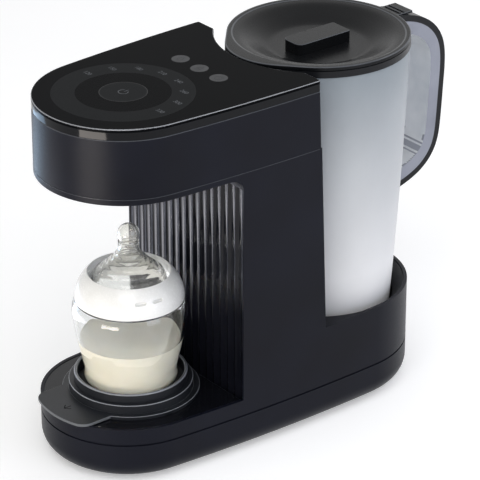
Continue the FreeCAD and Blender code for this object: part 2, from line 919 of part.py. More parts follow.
def jug_solid(grow, low, high):
    start, middle, end = jug_outline(grow)
    wall_line = Part.Arc(start, middle, end).toShape()
    bottom = Part.makeLine(up(0, 0, start.z), start)
    top = Part.makeLine(end, up(0, 0, end.z))
    axis = Part.makeLine(up(0, 0, end.z), up(0, 0, start.z))
    face = Part.Face(Part.Wire([bottom, wall_line, top, axis]))
    solid = face.revolve(up(0, 0, 0), up(0, 0, 1), 360)
    solid.translate(up(0, jug_y, 0))
    return solid.common(disc(big, low, high, jug_y))


def jug_body():
    body = jug_solid(0, jug_bottom_height, jug_top_height)
    body = body.makeFillet(jug_corner, top_rim_edges(body, jug_bottom_height))
    inside = jug_solid(-jug_wall, jug_bottom_height + jug_wall, jug_top_height)
    inside = inside.makeFillet(jug_corner - 1, top_rim_edges(inside, jug_bottom_height + jug_wall))
    body = body.cut(inside)
    rebate = ring(big / 2, jug_top_radius - jug_lip_cut, jug_lip_height, big, jug_y)
    body = body.cut(rebate)
    return body.cut(disc(valve_tube_radius, 0, jug_bottom_height + jug_wall + 1, jug_y))


def spouted_prism(radius, low, high):
    """A round plan with a broad beak toward the column, as two circles joined by tangents."""
    offset = spout_reach - spout_radius
    lean = math.asin((radius - spout_radius) / offset)
    across = math.cos(lean)
    along = -math.sin(lean)
    back_right = up(radius * across, jug_y + radius * along, low)
    front_right = up(spout_radius * across, jug_y - offset + spout_radius * along, low)
    front_left = up(-front_right.x, front_right.y, low)
    back_left = up(-back_right.x, back_right.y, low)
    edges = [
        Part.makeLine(back_right, front_right),
        Part.Arc(front_right, up(0, jug_y - spout_reach, low), front_left).toShape(),
        Part.makeLine(front_left, back_left),
        Part.Arc(back_left, up(0, jug_y + radius, low), back_right).toShape(),
    ]
    return Part.Face(Part.Wire(edges)).extrude(up(0, 0, high - low))


def handle_line(inset):
    """The handle's side line, moved inward by inset, as (y from the bottle, z) points."""
    points = [(handle_root + out, jug_top_height - drop) for out, drop in handle_points]
    moved = []
    for number, (y, z) in enumerate(points):
        before = points[max(number - 1, 0)]
        after = points[min(number + 1, len(points) - 1)]
        along_y = after[0] - before[0]
        along_z = after[1] - before[1]
        length = math.hypot(along_y, along_z)
        moved.append((y + inset * along_z / length, z - inset * along_y / length))
    return moved


def handle_strip_solid(outer_inset, inner_inset, half_width):
    outer = [up(-half_width, from_bottle(y), z) for y, z in handle_line(outer_inset)]
    inner = [up(-half_width, from_bottle(y), z) for y, z in handle_line(inner_inset)]
    inner.reverse()
    wire = Part.Wire([spline(outer), Part.makeLine(outer[-1], inner[0]), spline(inner),
                      Part.makeLine(inner[-1], outer[0])])
    return Part.Face(wire).extrude(up(2 * half_width, 0, 0))


def jug_band():
    """The dark ring round the jug's mouth and the dark strip down the handle, in one piece."""
    collar = spouted_prism(band_radius, band_bottom_height, band_top_height)
    mouth = disc(jug_top_radius - jug_lip_cut + fit_gap / 2, band_bottom_height - 1, band_top_height + 1, jug_y)
    collar = collar.cut(mouth)
    strip = handle_strip_solid(0, strip_thickness, handle_width / 2)
    strip = strip.cut(disc(band_radius - 1, band_bottom_height, big, jug_y))
    strip = strip.cut(jug_solid(fit_gap / 2, 0, band_bottom_height))
    tab_space = block(-tab_width / 2 - 1, tab_width / 2 + 1, jug_y, jug_y + tab_reach + 1,
                      lid_bottom_height - loose_gap, big)
    strip = strip.cut(tab_space)
    strip = strip.cut(disc(lid_radius + loose_gap, lid_bottom_height - loose_gap, big, jug_y))
    return collar.fuse(strip).removeSplitter()


def handle_core():
    core = handle_strip_solid(strip_thickness, strip_thickness + core_thickness, handle_width / 2)
    core = core.cut(jug_solid(fit_gap / 2, 0, band_bottom_height))
    core = core.cut(disc(band_radius + fit_gap, band_bottom_height - 0.2, big, jug_y))
    return core


def lid():
    rim = lid_radius
    inner = rim - lid_rim_width
    under = lid_floor_height - lid_thickness
    skirt_inner = lid_skirt_radius - lid_skirt_wall
    dish = turned([(0, lid_floor_height), (lid_floor_radius, lid_floor_height),
                   (inner - lid_lip_round, lid_rim_height - edge_break), (inner, lid_rim_height),
                   (rim - edge_break, lid_rim_height), (rim, lid_rim_height - edge_break),
                   (rim, lid_bottom_height), (lid_skirt_radius, lid_bottom_height),
                   (lid_skirt_radius, lid_skirt_bottom), (skirt_inner, lid_skirt_bottom),
                   (skirt_inner, lid_bottom_height - edge_break), (lid_floor_radius + 1, under),
                   (0, under)], jug_y)
    beak = spouted_prism(lid_radius, lid_bottom_height, lid_rim_height)
    beak = beak.cut(disc(lid_radius - 2, lid_bottom_height - 1, big, jug_y))
    tab = block(-tab_width / 2, tab_width / 2, jug_y + lid_radius - 2, jug_y + tab_reach,
                lid_bottom_height, lid_bottom_height + tab_thickness)
    tab = tab.makeFillet(3.0, [edge for edge in tab.Edges
                               if edge.BoundBox.ZLength > 1 and edge.CenterOfMass.y > jug_y + lid_radius])
    return dish.fuse([beak, tab]).removeSplitter()


def lid_grip():
    middle = jug_y - grip_forward
    bar = block(-grip_width / 2, grip_width / 2, middle - grip_length / 2, middle + grip_length / 2,
                lid_floor_height, grip_top_height)
    front = [edge for edge in bar.Edges if edge.BoundBox.ZLength > 1 and edge.CenterOfMass.y < middle]
    bar = bar.makeFillet(grip_front_round, front)
    back = [edge for edge in bar.Edges if edge.BoundBox.ZLength > 1
            and edge.CenterOfMass.y > middle + grip_length / 2 - 1]
    bar = bar.makeFillet(grip_back_round, back)
    return bar.makeFillet(edge_break, outer_rim_edges(bar, grip_top_height))


def lid_seal():
    middle = (lid_skirt_bottom + lid_bottom_height) / 2
    bore = jug_top_radius - jug_wall - lid_seal_gap
    return ring(bore, lid_skirt_radius, middle - lid_seal_height / 2, middle + lid_seal_height / 2, jug_y)


def tray_ring():
    """The stand's outer ring with its pull tongue and the drip cup under it."""
    deck_top = deck_height - deck_drop
    sleeve = well_radius - loose_gap
    bottom = well_floor_height + rest_gap
    flange = disc(tray_flange_radius, deck_top, tray_top_height, stand_y)
    reach = disc(tongue_reach, deck_height + tongue_lift, tray_top_height, bottle_y)
    tongue = reach.common(block(-tongue_width / 2, tongue_width / 2, from_bottle(-tongue_reach - 1),
                                stand_y - tray_flange_radius / 2, 0, big))
    corners = [edge for edge in tongue.Edges if edge.BoundBox.ZLength > 1
               and edge.CenterOfMass.y < stand_y - tray_flange_radius + tongue_corner
               and abs(edge.CenterOfMass.x) > tongue_width / 2 - 1]
    tongue = tongue.makeFillet(tongue_corner, corners)
    pot = disc(sleeve, bottom, deck_top + edge_break, stand_y)
    body = flange.fuse([tongue, pot])
    return body.cut(disc(sleeve - tray_wall, bottom + tray_floor, big, stand_y)).removeSplitter()


def middle_radius():
    return well_radius - loose_gap - tray_wall - stand_fit


def cup_radius():
    return middle_radius() - middle_wall - stand_fit


def middle_ring():
    low = well_floor_height + tray_floor + 2 * rest_gap
    body = ring(middle_radius(), cup_radius() + stand_fit, low, middle_top_height, stand_y)
    return body.makeFillet(edge_break, outer_rim_edges(body, middle_top_height))


def cup():
    low = middle_top_height - stage_travel - stage_overlap - lip_height
    outer = cup_radius()
    inner = outer - cup_wall
    under = cup_floor_height - cup_floor
    return turned([(0, under), (inner, under), (inner, low), (outer, low),
                   (outer, cup_top_height - edge_break), (outer - edge_break, cup_top_height),
                   (inner + edge_break, cup_top_height), (inner, cup_top_height - edge_break),
                   (inner, cup_floor_height), (0, cup_floor_height)], stand_y)


def cup_mat():
    top = cup_floor_height + mat_thickness
    mat = disc(cup_radius() - cup_wall - mat_inset, cup_floor_height, top, stand_y)
    return mat.makeFillet(edge_break, top_rim_edges(mat, top))


def bottle_line(inset, foot):
    """The bottle's side line from the base corner to the shoulder."""
    points = [(bottle_base_radius - bottle_base_inset, foot),
              (bottle_base_radius, foot + bottle_base_rise),
              (bottle_waist_radius, bottle_foot + bottle_waist_rise),
              (bottle_swell_radius, bottle_foot + bottle_swell_rise),
              (bottle_widest_radius, bottle_foot + bottle_widest_rise),
              (bottle_shoulder_radius, bottle_shoulder_height)]
    return [up(r - inset, 0, z) for r, z in points]


def bottle_solid(inset, foot, neck_top):
    """The bottle's outside, or with an inset its inside."""
    line = bottle_line(inset, foot)
    shoulder = line[-1] - up(0, 0, inset)
    line[-1] = shoulder
    neck = up(bottle_neck_radius - inset, 0, shoulder.z + edge_break)
    top = up(bottle_neck_radius - inset, 0, neck_top)
    edges = [
        Part.makeLine(up(0, 0, foot), line[0]),
        spline(line),
        Part.makeLine(shoulder, neck),
        Part.makeLine(neck, top),
        Part.makeLine(top, up(0, 0, neck_top)),
        Part.makeLine(up(0, 0, neck_top), up(0, 0, foot)),
    ]
    face = Part.Face(Part.Wire(edges))
    solid = face.revolve(up(0, 0, 0), up(0, 0, 1), 360)
    solid.translate(up(0, stand_y, 0))
    return solid


def bottle_body():
    outer = bottle_solid(0, bottle_foot, bottle_neck_top)
    body = outer.cut(bottle_solid(bottle_wall, bottle_foot + bottle_wall, bottle_neck_top + 1))
    root = bottle_neck_radius - edge_break
    crest = bottle_neck_radius + thread_depth
    for number in range(thread_turns):
        low = bottle_shoulder_height + thread_rise + number * thread_pitch
        bead = turned([(root, low), (crest, low + thread_depth), (crest, low + thread_depth + edge_break),
                       (root, low + 2 * thread_depth + edge_break)], stand_y)
        body = body.fuse(bead)
    return body.removeSplitter()


def milk():
    inner = bottle_solid(bottle_wall, bottle_foot + bottle_wall, bottle_neck_top)
    return inner.common(disc(big, 0, bottle_foot + milk_depth, stand_y))


def bottle_collar():
    foot = up(collar_foot_radius, 0, collar_foot_height)
    middle = up(collar_foot_radius - collar_middle_inset, 0, collar_foot_height + collar_middle_rise)
    crown = up(collar_opening_radius + 1, 0, collar_top_height)
    inside = bottle_neck_radius + thread_depth + rest_gap
    seat = bottle_neck_top + teat_flange + fit_gap / 2
    lip = up(collar_opening_radius, 0, collar_top_height - 1)
    edges = [
        Part.Arc(foot, middle, crown).toShape(),
        Part.makeLine(crown, lip),
        Part.makeLine(lip, up(collar_opening_radius, 0, seat)),
        Part.makeLine(up(collar_opening_radius, 0, seat), up(inside, 0, seat)),
        Part.makeLine(up(inside, 0, seat), up(inside, 0, collar_foot_height)),
        Part.makeLine(up(inside, 0, collar_foot_height), foot),
    ]
    collar = Part.Face(Part.Wire(edges)).revolve(up(0, 0, 0), up(0, 0, 1), 360)
    low = collar_foot_height + collar_slot_rise
    for side in (0, 180):
        for turn in collar_slot_turns:
            slot = block(inside + 1, collar_foot_radius + 2, -collar_slot_width / 2, collar_slot_width / 2,
                         low, low + collar_slot_height)
            slot = slot.makeFillet(collar_slot_height / 2 - fit_gap / 2,
                                   [edge for edge in slot.Edges if edge.BoundBox.XLength > 2])
            slot.rotate(up(0, 0, 0), up(0, 0, 1), turn + side)
            collar = collar.cut(slot)
    collar.translate(up(0, stand_y, 0))
    return collar


def teat_line(inset):
    ball = teat_ball_radius
    shoulder = ball * math.sin(math.pi / 4)
    points = [(collar_opening_radius - teat_gap, bottle_neck_top + teat_riser)]
    points += [(radius, bottle_neck_top + rise) for radius, rise in teat_points]
    points += [(ball, teat_ball_height - edge_break), (shoulder, teat_ball_height + shoulder)]
    return [up(r - inset, 0, z - inset / 2) for r, z in points]


def teat_solid(inset):
    """The teat's outside, or with an inset its hollow, open at the bottom."""
    line = teat_line(inset)
    crown = up(0, 0, teat_ball_height + teat_ball_radius - inset)
    bottom = bottle_neck_top - 1
    edges = [
        spline(line + [crown]),
        Part.makeLine(crown, up(0, 0, bottom)),
        Part.makeLine(up(0, 0, bottom), up(line[0].x, 0, bottom)),
        Part.makeLine(up(line[0].x, 0, bottom), line[0]),
    ]
    face = Part.Face(Part.Wire(edges))
    solid = face.revolve(up(0, 0, 0), up(0, 0, 1), 360)
    solid.translate(up(0, stand_y, 0))
    return solid


def teat():
    base = bottle_neck_top
    flange = disc(bottle_neck_radius, base, base + teat_flange, stand_y)
    outside = teat_solid(0).common(disc(big, base, big, stand_y))
    return flange.fuse(outside).cut(teat_solid(teat_wall)).removeSplitter()


def boiler():
    top = boiler_bottom + boiler_length
    y = from_bottle(boiler_y)
    body = disc(boiler_radius, boiler_bottom, top, y)
    body = body.makeFillet(boiler_round, top_rim_edges(body, top) + top_rim_edges(body, boiler_bottom))
    lower = disc(hose_bore_radius, boiler_bottom - boiler_spigot, boiler_bottom + 1, y)
    upper = disc(hose_bore_radius, top - 1, top + boiler_spigot, y)
    first = (boiler_length - (boiler_band_count - 1) * boiler_band_pitch - boiler_band_height) / 2
    bands = []
    for number in range(boiler_band_count):
        height = boiler_bottom + first + number * boiler_band_pitch
        bands.append(ring(boiler_radius + boiler_band_depth, boiler_radius - 1, height,
                          height + boiler_band_height, y))
    return body.fuse([lower, upper] + bands).removeSplitter()


def boiler_bracket():
    back = from_bottle(column_front) + panel_thickness
    y = from_bottle(boiler_y)
    half = bracket_width / 2
    low = boiler_bottom
    high = boiler_bottom + boiler_length
    bracket = block(-half, half, back, back + bracket_plate, low, high)
    for arm_low in (low + bracket_arm, high - 2 * bracket_arm):
        arm = block(-half, half, back, y - bracket_arm / 2, arm_low, arm_low + bracket_arm)
        bracket = bracket.fuse(arm)
    return bracket.cut(disc(boiler_radius + boiler_band_depth, 0, big, y)).removeSplitter()


def thermostat():
    """A snap thermostat on the boiler's side, with its two connector blades."""
    y = from_bottle(boiler_y)
    height = boiler_bottom + boiler_length / 2
    base = boiler_radius + boiler_band_depth - edge_break
    far = base + thermostat_depth
    body = Part.makeCylinder(thermostat_radius, thermostat_depth, up(base, y, height), up(1, 0, 0))
    cap = Part.makeCylinder(thermostat_cap_radius, thermostat_cap_depth, up(far, y, height), up(1, 0, 0))
    blades = []
    for side in (-1, 1):
        low_y = y + side * (thermostat_cap_radius + blade_thickness) - blade_thickness / 2
        blades.append(block(far - 1, far + blade_length, low_y, low_y + blade_thickness,
                            height - blade_width / 2, height + blade_width / 2))
    body = body.fuse([cap] + blades)
    return body.cut(boiler()).removeSplitter()


def pump():
    y = from_bottle(pump_y)
    half = pump_length / 2
    body = Part.makeCylinder(pump_radius, pump_length, up(-half, y, pump_height), up(1, 0, 0))
    neck = Part.makeCylinder(pump_neck_radius, pump_neck, up(-half - pump_neck, y, pump_height), up(1, 0, 0))
    outlet = Part.makeCylinder(hose_bore_radius, spigot_length, up(half, y, pump_height), up(1, 0, 0))
    bands = []
    spread = pump_mount_width + 2 * pump_band_width
    for middle in (-spread, 0, spread):
        band = Part.makeCylinder(pump_radius + pump_band_depth, pump_band_width,
                                 up(middle - pump_band_width / 2, y, pump_height), up(1, 0, 0))
        bands.append(band)
    return body.fuse([neck, outlet] + bands).removeSplitter()


def pump_mounts():
    """Two soft blocks that the pump lies in, between its bands."""
    y = from_bottle(pump_y)
    trough = Part.makeCylinder(pump_radius, 2 * pump_length, up(-pump_length, y, pump_height), up(1, 0, 0))
    middle = pump_mount_width / 2 + pump_band_width
    mounts = []
    for x in (-middle, middle):
        mount = block(x - pump_mount_width / 2, x + pump_mount_width / 2, y - pump_mount_depth / 2,
                      y + pump_mount_depth / 2, floor_height, pump_mount_height)
        mounts.append(mount.cut(trough))
    return Part.makeCompound(mounts)


def meter_x():
    return -pump_length / 2 - pump_neck - meter_length / 2


def flow_meter():
    """A turbine meter screwed to the pump's inlet, with its own inlet toward the jug's side."""
    y = from_bottle(pump_y)
    middle = meter_x()
    end = up(middle - meter_length / 2, y, pump_height)
    body = Part.makeCylinder(meter_radius, meter_length, end, up(1, 0, 0))
    body = body.makeFillet(edge_break, [edge for edge in body.Edges if edge.BoundBox.XLength < 0.01])
    spigot = Part.makeCylinder(hose_bore_radius, meter_radius + spigot_length,
                               up(middle, y, pump_height), up(0, 1, 0))
    half = sensor_width / 2
    top = pump_height + meter_radius
    sensor = block(middle - half, middle + half, y - half, y + half, top - 1, top + sensor_height)
    return body.fuse([spigot, sensor]).removeSplitter()


def power_board():
    """The circuit board over the floor, with its relay, filter coil, capacitor and terminal block."""
    low = board_height
    top = low + board_thickness
    y = from_bottle(board_y)
    half_x = board_width / 2
    half_y = board_depth / 2
    plate = block(-half_x, half_x, y - half_y, y + half_y, low, top)
    legs = []
    for side_x in (-1, 1):
        for side_y in (-1, 1):
            legs.append(disc(board_leg_radius, floor_height, low, y + side_y * (half_y - board_leg_inset),
                             side_x * (half_x - board_leg_inset)))
    relay = block(relay_x, relay_x + relay_length, y - relay_width / 2, y + relay_width / 2,
                  top, top + relay_height)
    coil = block(coil_x, coil_x + coil_size, y - coil_size / 2, y + coil_size / 2, top, top + coil_height)
    capacitor = disc(capacitor_radius, top, top + capacitor_height, y, capacitor_x)
    terminal = block(terminal_x, terminal_x + terminal_width, y - terminal_length / 2, y + terminal_length / 2,
                     top, top + terminal_height)
    return plate.fuse(legs + [relay, coil, capacitor, terminal]).removeSplitter()


def rounded_path(points, bend):
    """Straight runs joined by tangent arcs of one radius."""
    edges = []
    start = points[0]
    for number in range(1, len(points) - 1):
        corner = points[number]
        before = (points[number - 1] - corner)
        after = (points[number + 1] - corner)
        before.normalize()
        after.normalize()
        half = before.getAngle(after) / 2
        cut = bend / math.tan(half)
        enter = corner + before * cut
        leave = corner + after * cut
        bisector = before + after
        bisector.normalize()
        middle = corner + bisector * (bend / math.sin(half) - bend)
        edges.append(Part.makeLine(start, enter))
        edges.append(Part.Arc(enter, middle, leave).toShape())
        start = leave
    edges.append(Part.makeLine(start, points[-1]))
    return Part.Wire(edges)


def hose(points, bend):
    path = rounded_path(points, bend)
    along = points[1] - points[0]
    outer = Part.Wire([Part.makeCircle(hose_radius, points[0], along)])
    inner = Part.Wire([Part.makeCircle(hose_bore_radius, points[0], along)])
    return path.makePipeShell([outer], True, True).cut(path.makePipeShell([inner], True, True))


def seat_hose():
    """From the coupling under the jug to the flow meter."""
    end = from_bottle(pump_y) + meter_radius + hose_end
    low = coupling_bottom - seat_hose_drop
    return hose([up(0, jug_y, coupling_bottom + hose_end), up(0, jug_y, low),
                 up(meter_x(), jug_y, low + hose_radius),
                 up(meter_x(), jug_y - hose_bend_radius, pump_height),
                 up(meter_x(), end, pump_height)], seat_hose_bend)


def riser_hose():
    """From the pump up the column to the boiler."""
    x = pump_length / 2 + hose_end
    y = from_bottle(pump_y)
    boiler_line = from_bottle(boiler_y)
    side = x + riser_side
    turn = deck_height + riser_turn_rise
    return hose([up(x, y, pump_height), up(side, y, pump_height), up(side, boiler_line, turn - 2 * hose_radius),
                 up(0, boiler_line, turn), up(0, boiler_line, boiler_bottom - hose_end)], riser_bend)


def outlet_hose():
    """From the boiler through the head to the nozzle."""
    y = from_bottle(boiler_y)
    crown = nozzle_top + hose_bend_radius + 2
    return hose([up(0, y, boiler_bottom + boiler_length + hose_end), up(0, y, crown), up(0, stand_y, crown),
                 up(0, stand_y, nozzle_top + rest_gap)], hose_bend_radius)


def gland_wall():
    """Y of the body's back face at the cord gland."""
    return from_bottle(axis_distance + rear_radius)


def cord_gland():
    wall_y = gland_wall()
    along = up(0, 1, 0)
    flange = Part.makeCylinder(gland_radius + edge_break, gland_flange,
                               up(0, wall_y - edge_break, gland_height), along)
    flange = flange.makeFillet(edge_break, [edge for edge in flange.Edges if edge.BoundBox.YLength < 0.01
                                            and edge.CenterOfMass.y > wall_y + 1])
    tube = Part.makeCylinder(gland_tube_radius, gland_tube_length,
                             up(0, wall_y - gland_tube_length + 1, gland_height), along)
    nut = Part.makeCylinder(gland_radius, gland_nut,
                            up(0, wall_y - wall - gland_nut - rest_gap, gland_height), along)
    bore = Part.makeCylinder(gland_bore, 4 * gland_tube_length,
                             up(0, wall_y - 2 * gland_tube_length, gland_height), along)
    return flange.fuse([tube, nut]).cut(wall_ring()).cut(bore)


def wall_ring():
    """The body's wall at the gland, so that the gland grips both of its faces."""
    wall_solid = plan_prism(0, foot_height, low_seam_height).cut(plan_prism(-wall, foot_height - 1, big))
    hole = Part.makeCylinder(gland_tube_radius, 4 * gland_tube_length,
                             up(0, gland_wall() - 2 * gland_tube_length, gland_height), up(0, 1, 0))
    return wall_solid.cut(hole)


pieces = {
    "rubber_feet": rubber_feet,
    "lower_shell": lower_shell,
    "base_screws": base_screws,
    "body_shell": body_shell,
    "column_back": column_back,
    "fluted_panel": fluted_panel,
    "deck_plate": deck_plate,
    "head_underside": head_underside,
    "head_shell": head_shell,
    "trim_band": trim_band,
    "touch_plate": touch_plate,
    "touch_board": touch_board,
    "beeper": beeper,
    "nozzle_shroud": nozzle_shroud,
    "outlet_nozzle": outlet_nozzle,
    "jug_seat": jug_seat,
    "inlet_coupling": inlet_coupling,
    "inlet_seal": inlet_seal,
    "boiler": boiler,
    "boiler_bracket": boiler_bracket,
    "thermostat": thermostat,
    "pump": pump,
    "pump_mounts": pump_mounts,
    "flow_meter": flow_meter,
    "power_board": power_board,
    "seat_hose": seat_hose,
    "riser_hose": riser_hose,
    "outlet_hose": outlet_hose,
    "cord_gland": cord_gland,
    "tray_ring": tray_ring,
    "middle_ring": middle_ring,
    "cup": cup,
    "cup_mat": cup_mat,
    "bottle_body": bottle_body,
    "milk": milk,
    "bottle_collar": bottle_collar,
    "teat": teat,
    "jug_body": jug_body,
    "jug_band": jug_band,
    "handle_core": handle_core,
    "valve_housing": valve_housing,
    "valve_poppet": valve_poppet,
    "valve_spring": valve_spring,
    "lid": lid,
    "lid_grip": lid_grip,
    "lid_seal": lid_seal,
}

os.makedirs("parts", exist_ok=True)
for name, make in pieces.items():
    shape = make()
    if not shape.isValid() or shape.Volume <= 0:
        print("check", name, shape.isValid(), shape.Volume)
    box = shape.BoundBox
    print(name, len(shape.Solids), round(shape.Volume), "x", round(box.XMin, 1), round(box.XMax, 1),
          "y", round(box.YMin, 1), round(box.YMax, 1), "z", round(box.ZMin, 1), round(box.ZMax, 1))
    shape.exportStep("parts/" + name + ".step")
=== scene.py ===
import math

import bmesh
import bpy
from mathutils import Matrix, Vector


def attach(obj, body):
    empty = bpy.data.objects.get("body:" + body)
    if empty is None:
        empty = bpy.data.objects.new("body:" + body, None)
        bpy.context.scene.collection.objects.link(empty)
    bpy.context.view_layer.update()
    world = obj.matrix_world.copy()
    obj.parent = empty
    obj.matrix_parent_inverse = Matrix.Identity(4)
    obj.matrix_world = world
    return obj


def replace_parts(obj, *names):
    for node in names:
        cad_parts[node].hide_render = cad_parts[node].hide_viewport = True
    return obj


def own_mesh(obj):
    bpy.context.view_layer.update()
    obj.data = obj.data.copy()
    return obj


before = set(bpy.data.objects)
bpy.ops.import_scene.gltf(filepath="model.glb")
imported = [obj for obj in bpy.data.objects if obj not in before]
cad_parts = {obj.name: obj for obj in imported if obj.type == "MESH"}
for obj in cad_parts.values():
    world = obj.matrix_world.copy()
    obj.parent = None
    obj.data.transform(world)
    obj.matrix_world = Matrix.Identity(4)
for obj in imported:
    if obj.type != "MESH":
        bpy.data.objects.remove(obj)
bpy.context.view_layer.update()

mm = 0.001
bottleY = -101.5
standY = -99.5
jugY = 59.5
print("frame loaded,", len(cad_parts), "nodes")


# Camera, at the photograph's angle

cameraView = {"azimuth": 51.52, "elevation": 26.37, "distance": 2.00879, "lens": 225, "sensor": 36,
              "target": (0, -0.00717, 0.12016)}


def makeCamera():
    turn = math.radians(cameraView["azimuth"])
    rise = math.radians(cameraView["elevation"])
    back = Vector((math.sin(turn) * math.cos(rise), -math.cos(turn) * math.cos(rise), math.sin(rise)))
    data = bpy.data.cameras.new("camera")
    data.lens = cameraView["lens"]
    data.sensor_width = cameraView["sensor"]
    camera = bpy.data.objects.new("camera", data)
    camera.location = Vector(cameraView["target"]) + back * cameraView["distance"]
    camera.rotation_euler = back.to_track_quat("Z", "Y").to_euler()
    bpy.context.scene.collection.objects.link(camera)
    bpy.context.scene.camera = camera


makeCamera()
bpy.context.scene.view_settings.view_transform = "Standard"


# Materials

# An sRGB hex colour as the linear one that shaders take
def linearColour(hexText):
    channels = [int(hexText[i:i + 2], 16) / 255 for i in (1, 3, 5)]
    return [c / 12.92 if c <= 0.04045 else ((c + 0.055) / 1.055) ** 2.4 for c in channels] + [1]


# Adds a shader node with its settings; an input is a value or another node's output
def addNode(tree, kind, inputs=None, **settings):
    node = tree.nodes.new("ShaderNode" + kind)
    for name, value in settings.items():
        setattr(node, name, value)
    for key, value in (inputs or {}).items():
        if isinstance(value, bpy.types.NodeSocket):
            tree.links.new(value, node.inputs[key])
        else:
            node.inputs[key].default_value = value
    return node


# A new material with values set on its shader's own sockets
def startMaterial(name, **shaderValues):
    material = bpy.data.materials.new(name)
    material.use_nodes = True
    shader = material.node_tree.nodes["Principled BSDF"]
    for key, value in shaderValues.items():
        shader.inputs[key.replace("_", " ")].default_value = value
    return material, material.node_tree, shader


# Noise with features of about sizeMm, 0 to 1
def pattern(tree, sizeMm, detail=2.0, stretch=(1, 1, 1)):
    place = addNode(tree, "TexCoord").outputs["Object"]
    scaled = addNode(tree, "Mapping", {"Vector": place, "Scale": stretch}).outputs["Vector"]
    noise = addNode(tree, "TexNoise", {"Vector": scaled, "Scale": 1 / (sizeMm * mm), "Detail": detail})
    return noise.outputs["Fac"]


# A noise value spread over low to high
def ranged(tree, value, low, high, fromLow=0.3, fromHigh=0.7):
    return addNode(tree, "MapRange", {"Value": value, "From Min": fromLow, "From Max": fromHigh,
                                      "To Min": low, "To Max": high}).outputs["Result"]


# Mix of two colours, each a hex text or a node's output
def tinted(tree, value, first, second):
    mix = addNode(tree, "Mix", {0: value}, data_type="RGBA")
    for socket, colour in ((6, first), (7, second)):
        if isinstance(colour, str):
            mix.inputs[socket].default_value = linearColour(colour)
        else:
            tree.links.new(colour, mix.inputs[socket])
    return mix.outputs[2]


# Mottled tint, uneven roughness and a fine bump, as every finish has
def detailed(tree, shader, look):
    stretch = look.get("stretch", (1, 1, 1))
    mottle = ranged(tree, pattern(tree, look["mottleMm"], 3, stretch), 0, 1)
    grain = pattern(tree, look["grainMm"], 2, stretch)
    colour = tinted(tree, mottle, *look["tints"])
    tree.links.new(colour, shader.inputs["Base Color"])
    tree.links.new(ranged(tree, grain, *look["rough"]), shader.inputs["Roughness"])
    dent = addNode(tree, "Bump", {"Height": grain, "Strength": look["bump"], "Distance": 0.0003})
    tree.links.new(dent.outputs["Normal"], shader.inputs["Normal"])
    return colour


finishes = {}


def finish(name, look, **shaderValues):
    material, tree, shader = startMaterial(name, **shaderValues)
    detailed(tree, shader, look)
    finishes[name] = material
    return material


# ABS moulded in a spark eroded tool: satin, so it shows broad soft highlights.
# The real grain is 0.25 mm, too fine to show, so here and below it is drawn at 0.9 mm.
finish("spark textured ABS", {"tints": ("#0b0c14", "#10121c"), "mottleMm": 60, "rough": (0.34, 0.44),
       "grainMm": 0.9, "bump": 0.12}, Specular_IOR_Level=0.12)
# Its broken edges are painted lighter, a painted highlight line along them.
finish("ABS edge painted highlight", {"tints": ("#3c3f44", "#484b50"), "mottleMm": 14, "rough": (0.3, 0.4),
       "grainMm": 0.9, "bump": 0.05}, Specular_IOR_Level=0.4)
# The lip along a parting line is the same ABS, painted lighter as a highlight line where the two mouldings
# meet.
finish("parting lip painted highlight", {"tints": ("#34373d", "#3d4046"), "mottleMm": 14, "rough": (0.3, 0.4),
       "grainMm": 0.9, "bump": 0.05}, Specular_IOR_Level=0.4)
# Gloss moulded ABS for the trim: a black mirror, with the faint waviness of a moulded face.
finish("polished ABS", {"tints": ("#08090c", "#0b0c10"), "mottleMm": 50, "rough": (0.07, 0.12),
       "grainMm": 9.0, "bump": 0.02}, Specular_IOR_Level=0.16)
# Tinted acrylic touch plate: near black, smooth, with a dust of fine wear.
finish("tinted acrylic", {"tints": ("#08090b", "#0a0b0d"), "mottleMm": 45, "rough": (0.16, 0.24),
       "grainMm": 5.0, "bump": 0.01}, Specular_IOR_Level=0.01, IOR=1.49)
# Its cut edge is painted pale as a thin highlight line.
finish("acrylic edge painted highlight", {"tints": ("#84868a", "#94969a"), "mottleMm": 20, "rough": (0.2, 0.3),
       "grainMm": 3.0, "bump": 0.02}, Specular_IOR_Level=0.5, IOR=1.49)
# Gloss deck under the bottle, washed and wiped, so its roughness is uneven.
finish("wiped gloss ABS", {"tints": ("#0d0e12", "#101116"), "mottleMm": 30, "rough": (0.1, 0.2),
       "grainMm": 4.0, "bump": 0.02}, Specular_IOR_Level=0.2)
# Stand rings: fine moulded satin, greyer than the body.
finish("moulded stand ABS", {"tints": ("#191b1f", "#202226"), "mottleMm": 25, "rough": (0.3, 0.4),
       "grainMm": 0.9, "bump": 0.08}, Specular_IOR_Level=0.25)
# The rings' rims are the same ABS, painted light as thin highlight rings.
finish("stand rim painted highlight", {"tints": ("#6c6f75", "#7a7d82"), "mottleMm": 12, "rough": (0.25, 0.35),
       "grainMm": 0.9, "bump": 0.04}, Specular_IOR_Level=0.5)
# The pull tongue is a greyer moulding, flat and even.
finish("tongue ABS", {"tints": ("#585b5e", "#616467"), "mottleMm": 20, "rough": (0.35, 0.45),
       "grainMm": 0.9, "bump": 0.1}, Specular_IOR_Level=0.3)
# Moulded rubber: matt, with a dusty bloom.
finish("moulded rubber", {"tints": ("#1a1a1a", "#262626"), "mottleMm": 6, "rough": (0.7, 0.85),
       "grainMm": 0.8, "bump": 0.3}, Specular_IOR_Level=0.3)
# Zinc plated steel: grey metal with a spangled tint.
finish("zinc plated steel", {"tints": ("#a9abae", "#c2c4c4"), "mottleMm": 2, "rough": (0.25, 0.4),
       "grainMm": 0.5, "bump": 0.1}, Metallic=1.0)
# Drawn stainless steel: fine lines along the draw.
finish("drawn stainless steel", {"tints": ("#b5b6b6", "#cacac8"), "mottleMm": 8, "rough": (0.2, 0.35),
       "grainMm": 0.6, "bump": 0.12, "stretch": (1, 1, 0.05)}, Metallic=1.0)
